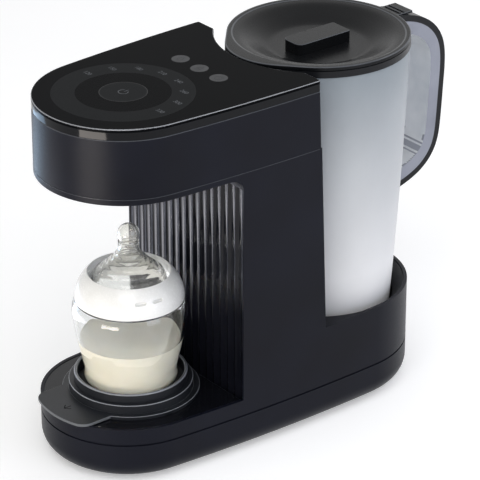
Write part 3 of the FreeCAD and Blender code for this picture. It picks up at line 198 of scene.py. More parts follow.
# Lacquered glass-fibre board: green, with the weave of the cloth under the lacquer.
finish("lacquered board", {"tints": ("#0f3d26", "#16502f"), "mottleMm": 1.4, "rough": (0.25, 0.4),
       "grainMm": 0.7, "bump": 0.15}, Specular_IOR_Level=0.5)
# Glass filled nylon, moulded: dull, with a faint streak.
finish("black nylon", {"tints": ("#161617", "#1d1d1e"), "mottleMm": 5, "rough": (0.45, 0.6),
       "grainMm": 0.8, "bump": 0.15}, Specular_IOR_Level=0.4)
# Acetal left natural, moulded: waxy white, light goes a little way in.
finish("natural acetal", {"tints": ("#c9cac8", "#d6d6d2"), "mottleMm": 9, "rough": (0.4, 0.5),
       "grainMm": 0.8, "bump": 0.08}, Specular_IOR_Level=0.4, Subsurface_Weight=0.1)
# Extruded silicone hose: cloudy, half see-through.
finish("clear hose silicone", {"tints": ("#c8c9c4", "#d8d8d2"), "mottleMm": 10, "rough": (0.3, 0.45),
       "grainMm": 1.2, "bump": 0.06}, Transmission_Weight=0.35, IOR=1.41)
# Moulded silicone seals: the same, thicker and duller.
finish("seal silicone", {"tints": ("#bcbcb6", "#cacac4"), "mottleMm": 8, "rough": (0.45, 0.55),
       "grainMm": 1.0, "bump": 0.08}, Transmission_Weight=0.15, IOR=1.41)
# Stoved paint on pressed steel: an even grey with an orange-peel dimple.
finish("painted steel can", {"tints": ("#45474b", "#505257"), "mottleMm": 12, "rough": (0.35, 0.45),
       "grainMm": 1.0, "bump": 0.12}, Specular_IOR_Level=0.5)
# Baby bottle in clear polypropylene-like plastic: polished, very slightly milky.
finish("clear polished plastic", {"tints": ("#f4f6f6", "#ffffff"), "mottleMm": 25, "rough": (0.02, 0.05),
       "grainMm": 12, "bump": 0.01}, Transmission_Weight=1.0, IOR=1.45)
# Milk: opaque cream, bright from light scattered inside it.
finish("mixed formula milk", {"tints": ("#d2cfbf", "#d9d6c8"), "mottleMm": 18, "rough": (0.18, 0.25),
       "grainMm": 6, "bump": 0.01}, Subsurface_Weight=0.3, Subsurface_Radius=(0.004, 0.003, 0.002), IOR=1.35)
# Pearly white moulded collar.
finish("pearly white plastic", {"tints": ("#e2e2de", "#ececea"), "mottleMm": 22, "rough": (0.2, 0.3),
       "grainMm": 1.0, "bump": 0.03}, Coat_Weight=0.3, Coat_Roughness=0.12)
# Moulded teat silicone: clear, bent light gives it pale and dark lines.
finish("clear teat silicone", {"tints": ("#f2f2ee", "#fbfbf8"), "mottleMm": 14, "rough": (0.05, 0.1),
       "grainMm": 4, "bump": 0.03}, Transmission_Weight=0.96, IOR=1.41)
# Handle core, moulded copolymer: cloudy and pale where light comes through.
finish("frosted handle core", {"tints": ("#cfd3d9", "#e2e4e8"), "mottleMm": 16, "rough": (0.35, 0.5),
       "grainMm": 0.9, "bump": 0.08}, Transmission_Weight=0.12, IOR=1.45)
# Its side faces are painted a darker lilac grey as painted shade.
finish("frosted handle side painted shade", {"tints": ("#868993", "#9497a1"), "mottleMm": 30, "rough": (0.4, 0.5),
       "grainMm": 0.9, "bump": 0.08}, Specular_IOR_Level=0.4)
# Band and handle strip: satin black.
finish("satin black ABS", {"tints": ("#101114", "#16171a"), "mottleMm": 30, "rough": (0.28, 0.38),
       "grainMm": 0.9, "bump": 0.08}, Specular_IOR_Level=0.2)
# Lid: the same satin black, with a slightly shinier, smoother face.
finish("lid ABS", {"tints": ("#0c0d0f", "#101113"), "mottleMm": 35, "rough": (0.26, 0.34),
       "grainMm": 0.9, "bump": 0.05}, Specular_IOR_Level=0.15)
# Screen printed inks on the plate: flat and dull, each a step lighter than the glass-like black.
finish("printed grey", {"tints": ("#111315", "#131517"), "mottleMm": 12, "rough": (0.3, 0.38),
       "grainMm": 1.0, "bump": 0.02}, Specular_IOR_Level=0.02)
finish("printed dark", {"tints": ("#07080a", "#090a0c"), "mottleMm": 12, "rough": (0.22, 0.3),
       "grainMm": 1.0, "bump": 0.02}, Specular_IOR_Level=0.01)
finish("printed power disc", {"tints": ("#121416", "#141618"), "mottleMm": 8, "rough": (0.3, 0.38),
       "grainMm": 1.0, "bump": 0.02}, Specular_IOR_Level=0.02)
finish("printed label", {"tints": ("#52555a", "#5f6266"), "mottleMm": 4, "rough": (0.35, 0.45),
       "grainMm": 0.8, "bump": 0.02}, Specular_IOR_Level=0.1)
finish("printed touch disc", {"tints": ("#3c3d3f", "#434446"), "mottleMm": 6, "rough": (0.35, 0.45),
       "grainMm": 0.8, "bump": 0.03}, Specular_IOR_Level=0.1)
finish("printed icon", {"tints": ("#232425", "#28292a"), "mottleMm": 4, "rough": (0.35, 0.45),
       "grainMm": 0.8, "bump": 0.02}, Specular_IOR_Level=0.1)


# Frosted jug wall: light spreads in it, so it looks cloudy; its high tints are painted shade, darker bluish
# grey towards the top under the lid, fading out lower down
frost = {"high": ("#858e95", "#90999f"), "from": 95.0, "to": 250.0,
         "look": {"tints": ("#eeeeee", "#f4f4f4"), "mottleMm": 55, "rough": (0.42, 0.52),
                  "grainMm": 0.9, "bump": 0.06}}


def makeFrostFinish():
    material, tree, shader = startMaterial("frosted copolymer", Transmission_Weight=0.15, IOR=1.45)
    frostTint = detailed(tree, shader, frost["look"])
    mottle = ranged(tree, pattern(tree, frost["look"]["mottleMm"], 3), 0, 1)
    # Painted shade under the lid, mixed in by height
    lidShadeTint = tinted(tree, mottle, *frost["high"])
    parts = addNode(tree, "SeparateXYZ", {0: addNode(tree, "TexCoord").outputs["Object"]})
    rise = ranged(tree, parts.outputs["Z"], 0, 1, frost["from"] * mm, frost["to"] * mm)
    tree.links.new(tinted(tree, rise, frostTint, lidShadeTint), shader.inputs["Base Color"])
    finishes["frosted copolymer"] = material


makeFrostFinish()


# Fluted panel: gloss black, with a painted highlight down each rib crest that fades to a point above the
# deck
flutes = {"count": 16, "halfWidth": 59.4, "fadeLow": 88.0, "fadeHigh": 108.0, "lean": 0.28,
          "crestWidth": 0.11, "crestSoft": 0.08, "crestHighlightColour": "#666974", "shine": (0.03, 0.2),
          "look": {"tints": ("#0c0d12", "#101118"), "mottleMm": 40, "rough": (0.1, 0.16),
                   "grainMm": 3.0, "bump": 0.02}}


def makeFluteFinish():
    material, tree, shader = startMaterial("moulded flute ABS")
    dark = detailed(tree, shader, flutes["look"])
    parts = addNode(tree, "SeparateXYZ", {0: addNode(tree, "TexCoord").outputs["Object"]})
    pitch = 2 * flutes["halfWidth"] / flutes["count"] * mm
    turns = addNode(tree, "Math", {0: parts.outputs["X"], 1: 1 / pitch}, operation="MULTIPLY").outputs[0]
    # 0 on a crest, 0.5 in the middle of a flute
    wave = addNode(tree, "Math", {0: turns, 1: 0.5}, operation="PINGPONG").outputs[0]
    leaning = {0: parts.outputs["X"], 1: -flutes["lean"], 2: parts.outputs["Z"]}
    high = addNode(tree, "Math", leaning, operation="MULTIPLY_ADD").outputs[0]
    fade = (flutes["fadeLow"] * mm, flutes["fadeHigh"] * mm)
    width = ranged(tree, high, 0.0, flutes["crestWidth"], *fade)
    near = addNode(tree, "Math", {0: width, 1: wave}, operation="SUBTRACT").outputs[0]
    # Painted highlight along each rib crest, narrowing to nothing lower down
    highlightMask = ranged(tree, near, 0, 1, 0.0, flutes["crestSoft"])
    tree.links.new(tinted(tree, highlightMask, dark, flutes["crestHighlightColour"]), shader.inputs["Base Color"])
    tree.links.new(ranged(tree, high, *flutes["shine"], *fade), shader.inputs["Specular IOR Level"])
    finishes["moulded flute ABS"] = material


makeFluteFinish()
print("materials made,", len(finishes))


# Mesh helpers

def meshOf(work, name):
    mesh = bpy.data.meshes.new(name)
    work.to_mesh(mesh)
    work.free()
    return mesh


# The points of one upright section, turned away from the front
def sectionPoints(work, outline, turn, centreY):
    return [work.verts.new((r * math.sin(turn) * mm, (centreY - r * math.cos(turn)) * mm, z * mm))
            for r, z in outline]


# A visible piece that rides a body
def newPiece(name, mesh, slot, body, *materials):
    piece = bpy.data.objects.new(name, mesh)
    bpy.context.scene.collection.objects.link(piece)
    for material in materials:
        mesh.materials.append(finishes[material])
    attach(piece, body)
    return piece


# Smooth shading with edges sharper than angle kept crisp
def smoothed(piece, angle=32):
    piece.data.shade_smooth()
    piece.data.set_sharp_from_angle(angle=math.radians(angle))
    weigh = piece.modifiers.new("even shading", "WEIGHTED_NORMAL")
    weigh.keep_sharp = True
    return piece


# What counts as a joint, a flat, a sliver and a rim when a node's edges are broken
edging = {"weldMm": 0.002, "flatDegrees": 0.4, "sharpDegrees": 28, "shortMm": 0.05, "narrowMm": 1.2,
          "smallMm2": 25, "rimSlope": (0.2, 0.95), "rise": 0.5, "sideways": 0.7,
          "tongueFrom": 46.3, "tongueLow": 41.0}


# Faces that take another material than the node's first: narrow rims the painted highlight, the handle
# core's sides painted shade, the tray ring's tongue its own grey
def paintFaces(work, node):
    low, high = edging["rimSlope"]
    for face in work.faces:
        narrow = (face.calc_area() < edging["smallMm2"] * mm * mm
                  or min(edge.calc_length() for edge in face.edges) < edging["narrowMm"] * mm)
        # Narrow up-sloping rims take the painted highlight
        if low < face.normal.z < high and narrow:
            face.material_index = 1
        # The handle core's sides, picked by their normal, take the painted shade material
        if node == "handle_core" and abs(face.normal.x) > edging["sideways"]:
            face.material_index = 1
        if node == "tray_ring":
            place = face.calc_center_median()
            reach = math.hypot(place.x, place.y - standY * mm)
            if reach > edging["tongueFrom"] * mm and place.z > edging["tongueLow"] * mm:
                face.material_index = 2


# A copy of a node whose sharp moulded edges are broken by edgeMm, with its bevels and rims in the second
# material, a painted highlight line on every node but the handle core, where it is the painted shade of its
# sides
def edgedCopy(node, slot, body, edgeMm, materials):
    work = bmesh.new()
    work.from_mesh(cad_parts[node].data)
    bmesh.ops.remove_doubles(work, verts=work.verts, dist=edging["weldMm"] * mm)
    bmesh.ops.dissolve_limit(work, angle_limit=math.radians(edging["flatDegrees"]), verts=work.verts,
                             edges=work.edges)
    sharp = []
    for edge in work.edges:
        if len(edge.link_faces) != 2:
            continue
        bent = edge.calc_face_angle_signed(0) > math.radians(edging["sharpDegrees"])
        up = len(materials) == 1 or max(face.normal.z for face in edge.link_faces) > edging["rise"]
        if bent and up and edge.calc_length() > edging["shortMm"] * mm:
            sharp.append(edge)
    bmesh.ops.bevel(work, geom=sharp, offset=edgeMm * mm, offset_type="OFFSET", segments=2, profile=0.5,
                    affect="EDGES", clamp_overlap=True, material=1 if len(materials) > 1 else 0)
    if len(materials) > 1:
        paintFaces(work, node)
    mesh = meshOf(work, node + "_finished")
    piece = newPiece(node + "_finished", mesh, slot, body, *materials)
    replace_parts(piece, node)
    return smoothed(piece)


# A closed outline of (radius, height) in mm turned round an upright axis
def turnedPiece(name, outline, slot, body, centreY, materials, steps=128):
    work = bmesh.new()
    rings = []
    for step in range(steps):
        turn = 2 * math.pi * step / steps
        rings.append(sectionPoints(work, outline, turn, centreY))
    for step in range(steps):
        first, second = rings[step], rings[(step + 1) % steps]
        for k in range(len(outline) - 1):
            work.faces.new((first[k], second[k], second[k + 1], first[k + 1]))
    bmesh.ops.remove_doubles(work, verts=work.verts, dist=0.001 * mm)
    bmesh.ops.recalc_face_normals(work, faces=work.faces)
    mesh = meshOf(work, name)
    return smoothed(newPiece(name, mesh, slot, body, *materials), 40)


# A smooth curve through the points, as a Catmull-Rom spline
def curved(points, per=6):
    out = []
    for k in range(len(points) - 1):
        a = points[max(k - 1, 0)]
        b, c = points[k], points[k + 1]
        d = points[min(k + 2, len(points) - 1)]
        for s in range(per):
            t = s / per
            point = []
            for i in (0, 1):
                straight = (c[i] - a[i]) * t
                bend = (2 * a[i] - 5 * b[i] + 4 * c[i] - d[i]) * t ** 2
                twist = (3 * b[i] - a[i] - 3 * c[i] + d[i]) * t ** 3
                point.append(0.5 * (2 * b[i] + straight + bend + twist))
            out.append(tuple(point))
    return out + [points[-1]]


# Hidden and small nodes keep their CAD shape
keptNodes = {
    "moulded rubber": ["rubber_feet", "cup_mat", "pump_mounts", "cord_gland"],
    "zinc plated steel": ["base_screws"],
    "lacquered board": ["touch_board", "power_board"],
    "black nylon": ["beeper", "thermostat"],
    "natural acetal": ["outlet_nozzle", "inlet_coupling", "flow_meter", "valve_housing", "valve_poppet"],
    "seal silicone": ["inlet_seal", "lid_seal"],
    "clear hose silicone": ["seat_hose", "riser_hose", "outlet_hose"],
    "drawn stainless steel": ["boiler", "boiler_bracket"],
    "painted steel can": ["pump"],
    "spark textured ABS": ["column_back"],
    "moulded stand ABS": ["nozzle_shroud"],
    "moulded flute ABS": ["fluted_panel"],
}

for material, names in keptNodes.items():
    for name in names:
        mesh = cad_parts[name].data
        mesh.materials.clear()
        mesh.materials.append(finishes[material])


def makeSpring():
    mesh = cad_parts["valve_spring"].data.copy()
    mesh.materials.clear()
    coil = newPiece("valve_spring_coil", mesh, "spring_steel", "jug", "drawn stainless steel")
    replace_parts(coil, "valve_spring")
    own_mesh(coil)


makeSpring()
print("kept nodes finished")

# Shells, with their moulded edges broken
shells = [
    ("lower_shell", "shell_plastic", "base", 0.3, ("spark textured ABS",)),
    ("body_shell", "shell_plastic", "base", 0.35, ("spark textured ABS", "ABS edge painted highlight")),
    ("head_underside", "shell_plastic", "base", 0.3, ("spark textured ABS",)),
    ("head_shell", "shell_plastic", "base", 0.35, ("spark textured ABS", "ABS edge painted highlight")),
    ("trim_band", "gloss_black", "base", 0.2, ("polished ABS",)),
    ("touch_plate", "gloss_black", "base", 0.35, ("tinted acrylic", "acrylic edge painted highlight")),
    ("deck_plate", "gloss_black", "base", 0.3, ("wiped gloss ABS", "ABS edge painted highlight")),
    ("jug_seat", "stand_plastic", "base", 0.4, ("moulded stand ABS",)),
    ("tray_ring", "stand_plastic", "tray", 0.3, ("moulded stand ABS", "stand rim painted highlight", "tongue ABS")),
    ("middle_ring", "stand_plastic", "ring", 0.3, ("moulded stand ABS", "stand rim painted highlight")),
    ("cup", "stand_plastic", "cup", 0.3, ("moulded stand ABS", "stand rim painted highlight")),
    ("jug_body", "jug_frosted", "jug", 0.4, ("frosted copolymer",)),
    ("jug_band", "band_black", "jug", 0.5, ("satin black ABS",)),
    ("handle_core", "core_frosted", "jug", 1.2, ("frosted handle core", "frosted handle side painted shade")),
    ("lid_grip", "lid_plastic", "lid", 0.6, ("lid ABS", "ABS edge painted highlight")),
    ("bottle_collar", "collar_white", "bottle", 0.3, ("pearly white plastic",)),
]

for node, slot, body, edgeMm, materials in shells:
    edgedCopy(node, slot, body, edgeMm, materials)
print("shells finished")


# Lid: a dished round cover whose rim widens into a beak over the head

lid = {"radius": 61.3, "rimTop": 254.0, "rimLow": 251.1, "floorZ": 244.6, "floorRadius": 33.0,
       "dish": [(44, 4.6), (52, 8.0)], "dishRadius": 57.2, "thickness": 2.2, "underRadius": 37,
       "skirt": 57.4, "skirtLow": 240.5, "skirtWall": 1.6, "round": 0.4, "steps": 240,
       "beakReach": 68.4, "beakRadius": 40.0,
       "tabReach": 75.0, "tabWidth": 18.0, "tabThick": 1.8, "tabSteps": (4.5, 8.0), "stepWide": 1.1}


# Distance from the jug's axis to the rim, turn counted from the front
def lidRadius(turn):
    offset = lid["beakReach"] - lid["beakRadius"]
    lean = math.acos((lid["radius"] - lid["beakRadius"]) / offset)
    turn = abs((turn + math.pi) % (2 * math.pi) - math.pi)
    tip = math.atan2(lid["beakRadius"] * math.sin(lean), offset + lid["beakRadius"] * math.cos(lean))
    if turn > lean:
        return lid["radius"]
    if turn > tip:
        return lid["radius"] / math.cos(turn - lean)
    return offset * math.cos(turn) + math.sqrt(lid["beakRadius"] ** 2 - (offset * math.sin(turn)) ** 2)


def makeLid():
    top, low, floorZ = lid["rimTop"], lid["rimLow"], lid["floorZ"]
    flat, skirt, edge = lid["floorRadius"], lid["skirt"], lid["round"]
    dish = [(flat - 3, floorZ), (flat + 2, floorZ + 0.5)] + [(r, floorZ + rise) for r, rise in lid["dish"]]
    dish = curved(dish + [(lid["dishRadius"], top - 0.55)], 5)
    start = [(0.01, floorZ), (flat - 8, floorZ)] + dish + [(58.2, top - 0.1), (58.9, top)]
    inside = skirt - lid["skirtWall"]
    under = [(skirt, low), (skirt, lid["skirtLow"] + edge), (skirt - edge, lid["skirtLow"]),
             (inside + edge, lid["skirtLow"]), (inside, lid["skirtLow"] + edge), (inside, low - 0.8),
             (lid["underRadius"], floorZ - lid["thickness"]), (0.01, floorZ - lid["thickness"])]
    work = bmesh.new()
    rings = []
    for step in range(lid["steps"]):
        turn = 2 * math.pi * step / lid["steps"]
        reach = lidRadius(turn)
        outer = [(reach - 0.9, top), (reach - 0.35, top - 0.15), (reach - 0.05, top - 0.55),
                 (reach, low + edge), (reach - edge, low)]
        rings.append(sectionPoints(work, start + outer + under, turn, jugY))
    rim = len(start)
    for step in range(lid["steps"]):
        first, second = rings[step], rings[(step + 1) % lid["steps"]]
        for k in range(len(first) - 1):
            face = work.faces.new((first[k], second[k], second[k + 1], first[k + 1]))
            # These rim faces take the painted highlight material
            if k in (rim, rim + 1, rim - 3):
                face.material_index = 1
    bmesh.ops.remove_doubles(work, verts=work.verts, dist=0.001 * mm)
    bmesh.ops.recalc_face_normals(work, faces=work.faces)
    mesh = meshOf(work, "lid_cover")
    cover = newPiece("lid_cover", mesh, "lid_plastic", "lid", "lid ABS", "ABS edge painted highlight")
    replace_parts(smoothed(cover, 40), "lid")


# A block between two corners in mm with its edges rounded
def bevelledBlock(name, low, high, edgeMm, slot, body, *materials):
    work = bmesh.new()
    bmesh.ops.create_cube(work, size=1)
    for vertex in work.verts:
        for k in range(3):
            vertex.co[k] = (low[k] if vertex.co[k] < 0 else high[k]) * mm
    bmesh.ops.bevel(work, geom=list(work.edges), offset=edgeMm * mm, segments=3, profile=0.5, affect="EDGES",
                    material=1 if len(materials) > 1 else 0)
    mesh = meshOf(work, name)
    return smoothed(newPiece(name, mesh, slot, body, *materials), 40)


def makeLidTab():
    half = lid["tabWidth"] / 2
    back = jugY + lid["radius"] - 1.5
    low, high = lid["rimLow"], lid["rimLow"] + lid["tabThick"]
    look = ("lid_plastic", "lid", "lid ABS", "ABS edge painted highlight")
    # The tab's rounded edges take the painted highlight material
    bevelledBlock("lid_tab", (-half, back, low), (half, jugY + lid["tabReach"], high), 0.5, *look)
    for k, y in enumerate(lid["tabSteps"]):
        near, far = back + y, back + y + lid["stepWide"]
        bevelledBlock("lid_tab_step_%d" % k, (-half + 1.2, near, low + 1.5), (half - 1.2, far, high + 0.7),
                      0.3, *look)


makeLid()
makeLidTab()
print("lid made")


# Parting lines of the body, each the lip of the lower moulding, painted light as a highlight line

plan = {"nose": 58.5, "rear": 62.8, "side": 1300.0, "axes": 161.0}
partingLines = {
    "seam_lip_painted_highlight": {"z": (205.4, 205.8), "from": 109.5, "out": 0.05},
    "band_lip_painted_highlight": {"z": (245.98, 246.25), "from": 108.0, "out": 0.0},
}


# The body's plan outline from the right side round the nose to the left, y counted from the bottle
def planPoints(lastY, grow):
    front, rear = plan["side"] - plan["nose"], plan["side"] - plan["rear"]
    along = (plan["axes"] ** 2 + front ** 2 - rear ** 2) / (2 * plan["axes"])
    across = math.sqrt(front ** 2 - along ** 2)
    meet = math.atan2(across, -along)
    points = []
    for k in range(25):
        y = lastY + (-along * plan["nose"] / front - lastY) * k / 24
        points.append((math.sqrt((plan["side"] + grow) ** 2 - (y - along) ** 2) - across, y))
    lowest = math.atan2(-along, across)
    for k in range(1, 60):
        turn = lowest + (-math.pi / 2 - lowest) * k / 60
        points.append(((plan["nose"] + grow) * math.cos(turn), (plan["nose"] + grow) * math.sin(turn)))
    return points + [(0, -plan["nose"] - grow)] + [(-x, y) for x, y in points[::-1]]


def makePartingLines():
    for name, line in partingLines.items():
        low, high = line["z"]
        outer = planPoints(line["from"], line["out"])
        inner = planPoints(line["from"], -0.5)
        work = bmesh.new()
        rows = []
        for (ox, oy), (ix, iy) in zip(outer, inner):
            edge = ((ox, oy, low), (ox, oy, high - 0.15), (ix, iy, high))
            rows.append([work.verts.new((x * mm, (bottleY + y) * mm, z * mm)) for x, y, z in edge])
        for first, second in zip(rows, rows[1:]):
            for k in range(2):
                work.faces.new((first[k], second[k], second[k + 1], first[k + 1]))
        bmesh.ops.recalc_face_normals(work, faces=work.faces)
        mesh = bpy.data.meshes.new(name)
        work.to_mesh(mesh)
        work.free()
        smoothed(newPiece(name, mesh, "shell_plastic", "base", "parting lip painted highlight"), 60)


makePartingLines()
print("parting lines made")


# Baby bottle

bottle = {"foot": 47.4, "wall": 1.6, "milkTop": 78.4, "meniscus": 0.9,
          "line": [(27.8, 47.4), (30.8, 50.8), (30.6, 57.5), (34.4, 75.0), (38.2, 97.8), (36.4, 107.5)],
          "neck": 30.0, "neckTop": 118.8}


def makeBottle():
    outer = curved(bottle["line"], 10)
    inner = [(r - bottle["wall"], z + (bottle["wall"] if z < 50 else 0)) for r, z in outer]
    neck = bottle["neck"]
    top = bottle["neckTop"]
    shoulder = bottle["line"][-1][1]
    profile = [(0.01, bottle["foot"] + 1.2), (22, bottle["foot"] + 1.2), (24, bottle["foot"] + 0.1)] + outer
    profile += [(36.0, shoulder + 0.4), (neck + 0.8, shoulder + 0.45), (neck, shoulder + 1.2)]
    profile += [(neck, top - 0.5), (neck - 0.5, top), (neck - bottle["wall"], top)]
    profile += [(neck - bottle["wall"], shoulder - 0.6), (34.0, shoulder - 1.4)] + inner[::-1][2:]
    profile += [(23, bottle["foot"] + 2.9), (0.01, bottle["foot"] + 2.9)]
    clear = ["clear polished plastic"]
    wall = turnedPiece("bottle_wall", profile, "bottle_clear", "bottle", standY, clear, 160)
    wall.visible_shadow = False  # clear plastic throws almost no shadow on the milk
    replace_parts(wall, "bottle_body")
    # The milk reaches 0.1 mm into the wall, as liquid wets it
    side = [(r + 0.1, z) for r, z in inner if z < bottle["milkTop"] - 0.5]
    rim = side[-1][0] + 0.55
    fill = [(0.01, bottle["foot"] + 2.7), (23, bottle["foot"] + 2.7)] + side
    level = bottle["milkTop"]
    fill += [(rim, level + bottle["meniscus"]), (rim - 0.7, level + 0.35), (rim - 2.2, level), (0.01, level)]
    milk = turnedPiece("milk_fill", fill, "milk", "bottle", standY, ["mixed formula milk"])
    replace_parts(milk, "milk")


makeBottle()

teat = {"wall": 1.5, "base": 118.8, "flange": 29.3, "ball": 7.3, "ballZ": 153.4,
        "dome": [(24.6, 3.1), (23.2, 7.0), (17.6, 11.8), (12.1, 16.8), (8.0, 22.2), (6.6, 26.8)],
        "ripple": 0.28, "ripplePitch": 3.4, "rippled": (7, 23),
        "neck": 6.6, "neckRise": 27, "neckRing": 0.4, "neckPitch": 2.2}


def makeTeat():
    base, middle = teat["base"], teat["ballZ"]
    low, high = teat["rippled"]
    dome = []
    for r, z in curved([(r, base + rise) for r, rise in teat["dome"]], 8):
        wave = teat["ripple"] * math.sin((z - base - low) * 2 * math.pi / teat["ripplePitch"])
        dome.append((r + (wave if low < z - base < high else 0), z))
    neck = []
    for rise in [0.3 * k for k in range(10)]:
        swell = teat["neckRing"] * math.sin(rise * 2 * math.pi / teat["neckPitch"]) ** 2
        neck.append((teat["neck"] + swell, base + teat["neckRise"] + rise))
    turns = [math.radians(-38 + 8 * k) for k in range(16)]
    ball = [(teat["ball"] * math.cos(turn), middle + teat["ball"] * math.sin(turn)) for turn in turns]
    outer = dome + neck + ball + [(0.01, middle + teat["ball"])]
    inner = [(max(r - teat["wall"], 0.01), z - 0.5) for r, z in outer]
    flange = teat["flange"]
    profile = [(flange, base + 0.05), (flange, base + 1.7), (25.0, base + 1.7)] + outer + inner[::-1]
    profile += [(23.2, base + 0.05), (flange, base + 0.05)]
    clear = ["clear teat silicone"]
    piece = turnedPiece("teat_shell", profile, "teat_silicone", "bottle", standY, clear)
    piece.visible_shadow = False
    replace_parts(piece, "teat")


makeTeat()
print("bottle and teat made")


# Print on the touch plate

dial = {"ring": (30.8, 46.2), "disc": 30.8, "power": 15.6, "labelRadius": 38.5, "textMm": 4.6,
        "plateTop": 253.8, "labels": ["120", "150", "180", "210", "240", "260", "300", "330"],
        "touchY": 61.0, "touchX": (-20, 0, 20), "touchRadius": 6.0, "lineMm": 0.45}


# A printed ring, or a disc where inner is near nothing
def flatRing(name, inner, outer, x, y, z, material, steps=96):
    work = bmesh.new()
    circles = []
    for radius in (outer, inner):
        circle = []
        for turn in [2 * math.pi * k / steps for k in range(steps)]:
            place = (x + radius * math.sin(turn), y - radius * math.cos(turn), z)
            circle.append(work.verts.new([value * mm for value in place]))
        circles.append(circle)
    for k in range(steps):
        n = (k + 1) % steps
        work.faces.new((circles[0][k], circles[0][n], circles[1][n], circles[1][k]))
    return newPiece(name, meshOf(work, name), "gloss_black", "base", material)


# Printed lines, each a list of points and whether it closes
def strokes(name, lines, widthMm, z, material, slot="gloss_black", body="base"):
    curve = bpy.data.curves.new(name, "CURVE")
    curve.dimensions = "3D"
    for points, closed in lines:
        spline = curve.splines.new("POLY")
        spline.points.add(len(points) - 1)
        for point, (x, y) in zip(spline.points, points):
            point.co = (x * mm, y * mm, z * mm, 1)
        spline.use_cyclic_u = closed
    curve.bevel_depth = 0.5 * widthMm * mm
    curve.bevel_resolution = 1
    helper = bpy.data.objects.new(name + "_line", curve)
    mesh = bpy.data.meshes.new_from_object(helper)
    bpy.data.objects.remove(helper)
    for vertex in mesh.vertices:
        vertex.co.z = z * mm + (vertex.co.z - z * mm) * 0.08  # ink is flat
    return newPiece(name, mesh, slot, body, material)


# Points along an arc, angles in degrees
def arcPoints(x, y, radius, start, end, count):
    turns = [math.radians(start + (end - start) * k / (count - 1)) for k in range(count)]
    return [(x + radius * math.cos(turn), y + radius * math.sin(turn)) for turn in turns]


# Printed figures, flat on the plate
def makeLabel(text, x, y, z, sizeMm, name):
    data = bpy.data.curves.new(name, "FONT")
    data.body = text
    data.size = sizeMm * mm
    data.align_x = "CENTER"
    data.align_y = "CENTER"
    helper = bpy.data.objects.new(name + "_type", data)
    mesh = bpy.data.meshes.new_from_object(helper)
    bpy.data.objects.remove(helper)
    for vertex in mesh.vertices:
        vertex.co += Vector((x * mm, y * mm, z * mm))
    newPiece(name, mesh, "gloss_black", "base", "printed label")


def makeDial():
    z = dial["plateTop"]
    flatRing("dial_ring", dial["ring"][0], dial["ring"][1], 0, bottleY, z + 0.02, "printed grey")
    flatRing("dial_disc", 0.01, dial["disc"], 0, bottleY, z + 0.03, "printed dark")
    flatRing("dial_power", 0.01, dial["power"], 0, bottleY, z + 0.05, "printed power disc")
    flatRing("dial_power_outline", dial["power"] - 0.5, dial["power"], 0, bottleY, z + 0.06, "printed icon")
    circle = (arcPoints(0, bottleY, 3.2, 125, 415, 30), False)
    bar = ([(0, bottleY + 0.6), (0, bottleY + 4.2)], False)
    strokes("power_symbol", [circle, bar], 0.55, z + 0.07, "printed label")
    for k, label in enumerate(dial["labels"]):
        turn = math.radians(180 - 180 * k / (len(dial["labels"]) - 1))
        x, y = dial["labelRadius"] * math.cos(turn), bottleY + dial["labelRadius"] * math.sin(turn)
        makeLabel(label, x, y, z + 0.06, dial["textMm"], "dial_number_" + label)


def makeTouchPlaces():
    y, z = bottleY + dial["touchY"], dial["plateTop"]
    left, right = dial["touchX"][0], dial["touchX"][2]
    for k, x in enumerate(dial["touchX"]):
        flatRing("touch_disc_%d" % k, 0.01, dial["touchRadius"], x, y, z + 0.03, "printed touch disc", 64)
    drop = [(arcPoints(left, y - 0.6, 1.9, 150, 390, 18) + [(left, y + 3.2)], True)]
    side = [(-1.6, y - 3), (1.6, y - 3), (1.6, y + 1), (0.7, y + 2.2), (0.7, y + 3.4)]
    outline = side + [(-0.7, y + 3.4), (-0.7, y + 2.2), (-1.6, y + 1)]
    bottleIcon = [(outline, True), ([(-1.6, y - 0.5), (1.6, y - 0.5)], False)]
    rinse = [(arcPoints(right, y, 2.6, 60, 380, 26), False),
             ([(right + 2.4, y + 1.0), (right + 2.6, y + 3.0), (right + 0.9, y + 2.3)], False)]
    for name, lines in (("drop", drop), ("bottle", bottleIcon), ("rinse", rinse)):
        strokes("touch_icon_" + name, lines, dial["lineMm"], z + 0.06, "printed icon")


makeDial()
makeTouchPlaces()

arrow = {"y": bottleY - 50.5, "z": 42.6}
strokes("tongue_arrow", [([(-3.2, arrow["y"] + 1.2), (0, arrow["y"] - 2.0), (3.2, arrow["y"] + 1.2)], False),
                         ([(0, arrow["y"] - 1.6), (0, arrow["y"] + 3.4)], False)],
        0.6, arrow["z"] + 0.05, "printed dark", "stand_plastic", "tray")
print("print made")


# Floor, world and lamps

# 1 for rays from the camera and for those mirrored or let through, 0 for the rest
def seenWhite(tree):
    path = addNode(tree, "LightPath")
    seen = path.outputs["Is Camera Ray"]
    for kind in ("Is Glossy Ray", "Is Transmission Ray"):
        seen = addNode(tree, "Math", {0: seen, 1: path.outputs[kind]}, operation="MAXIMUM").outputs[0]
    return seen


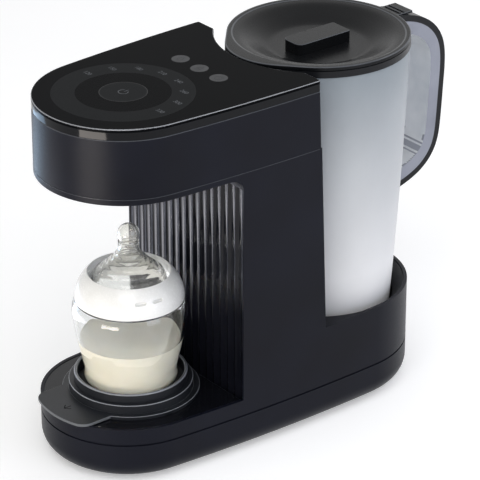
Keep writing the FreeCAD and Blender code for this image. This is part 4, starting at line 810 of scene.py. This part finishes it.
def makeFloor():
    work = bmesh.new()
    bmesh.ops.create_grid(work, x_segments=2, y_segments=2, size=3.0)
    mesh = meshOf(work, "floor")
    floor = bpy.data.objects.new("floor", mesh)
    bpy.context.scene.collection.objects.link(floor)
    material, tree, shader = startMaterial("pale matt board", Roughness=0.9, Specular_IOR_Level=0.0)
    detailed(tree, shader, {"tints": ("#efefef", "#f2f2f2"), "mottleMm": 300, "rough": (0.85, 0.95),
                            "grainMm": 3.0, "bump": 0.0})
    seen = seenWhite(tree)
    lift = addNode(tree, "Math", {0: seen, 1: 0.32}, operation="MULTIPLY").outputs[0]
    shader.inputs["Emission Color"].default_value = (1, 1, 1, 1)
    tree.links.new(lift, shader.inputs["Emission Strength"])
    mesh.materials.append(material)


def makeWorld():
    world = bpy.data.worlds.new("studio")
    bpy.context.scene.world = world
    world.use_nodes = True
    tree = world.node_tree
    shade = tree.nodes["Background"]
    shade.inputs["Color"].default_value = (1, 1, 1, 1)
    seen = seenWhite(tree)
    tree.links.new(ranged(tree, seen, 0.55, 1.0, 0.0, 1.0), shade.inputs["Strength"])


# The cards lie on the floor, where the upright faces mirror them towards the camera
lamps = {
    "key_softbox": {"at": (0.9, -0.9, 1.5), "aim": (0, 0, 0.1), "size": (1.2, 1.2),
                    "power": 12, "colour": "#ffffff"},
    "back_softbox": {"at": (0.5, 1.3, 0.9), "aim": (0, 0.08, 0.15), "size": (0.9, 0.9),
                     "power": 6, "colour": "#f2f5ff"},
    "side_softbox": {"at": (1.6, 0.2, 0.5), "aim": (0, 0, 0.12), "size": (0.8, 0.8),
                     "power": 5, "colour": "#dfe6ff"},
    "nose_card": {"at": (0.14, -0.56, 0.01), "aim": (0.09, -0.3, 0.3), "size": (0.3, 0.24),
                  "power": 2.6, "colour": "#fff6ee"},
    "left_card": {"at": (-0.48, -0.24, 0.01), "aim": (-0.48, -0.24, 1.0), "size": (0.16, 0.34),
                  "power": 0.6, "colour": "#b8dcff"},
    "flute_card": {"at": (-0.235, -0.24, 0.01), "aim": (-0.235, -0.24, 1.0), "size": (0.13, 0.26),
                   "power": 0.5, "colour": "#f4f4ff"},
}


def makeLamps():
    for name, lamp in lamps.items():
        data = bpy.data.lights.new(name, "AREA")
        data.shape = "RECTANGLE"
        data.size, data.size_y = lamp["size"]
        data.energy = lamp["power"]
        data.color = linearColour(lamp["colour"])[:3]
        light = bpy.data.objects.new(name, data)
        light.location = lamp["at"]
        light.rotation_euler = (Vector(lamp["at"]) - Vector(lamp["aim"])).to_track_quat("Z", "Y").to_euler()
        light.visible_camera = False
        bpy.context.scene.collection.objects.link(light)


makeFloor()
makeWorld()
makeLamps()
print("stage made")
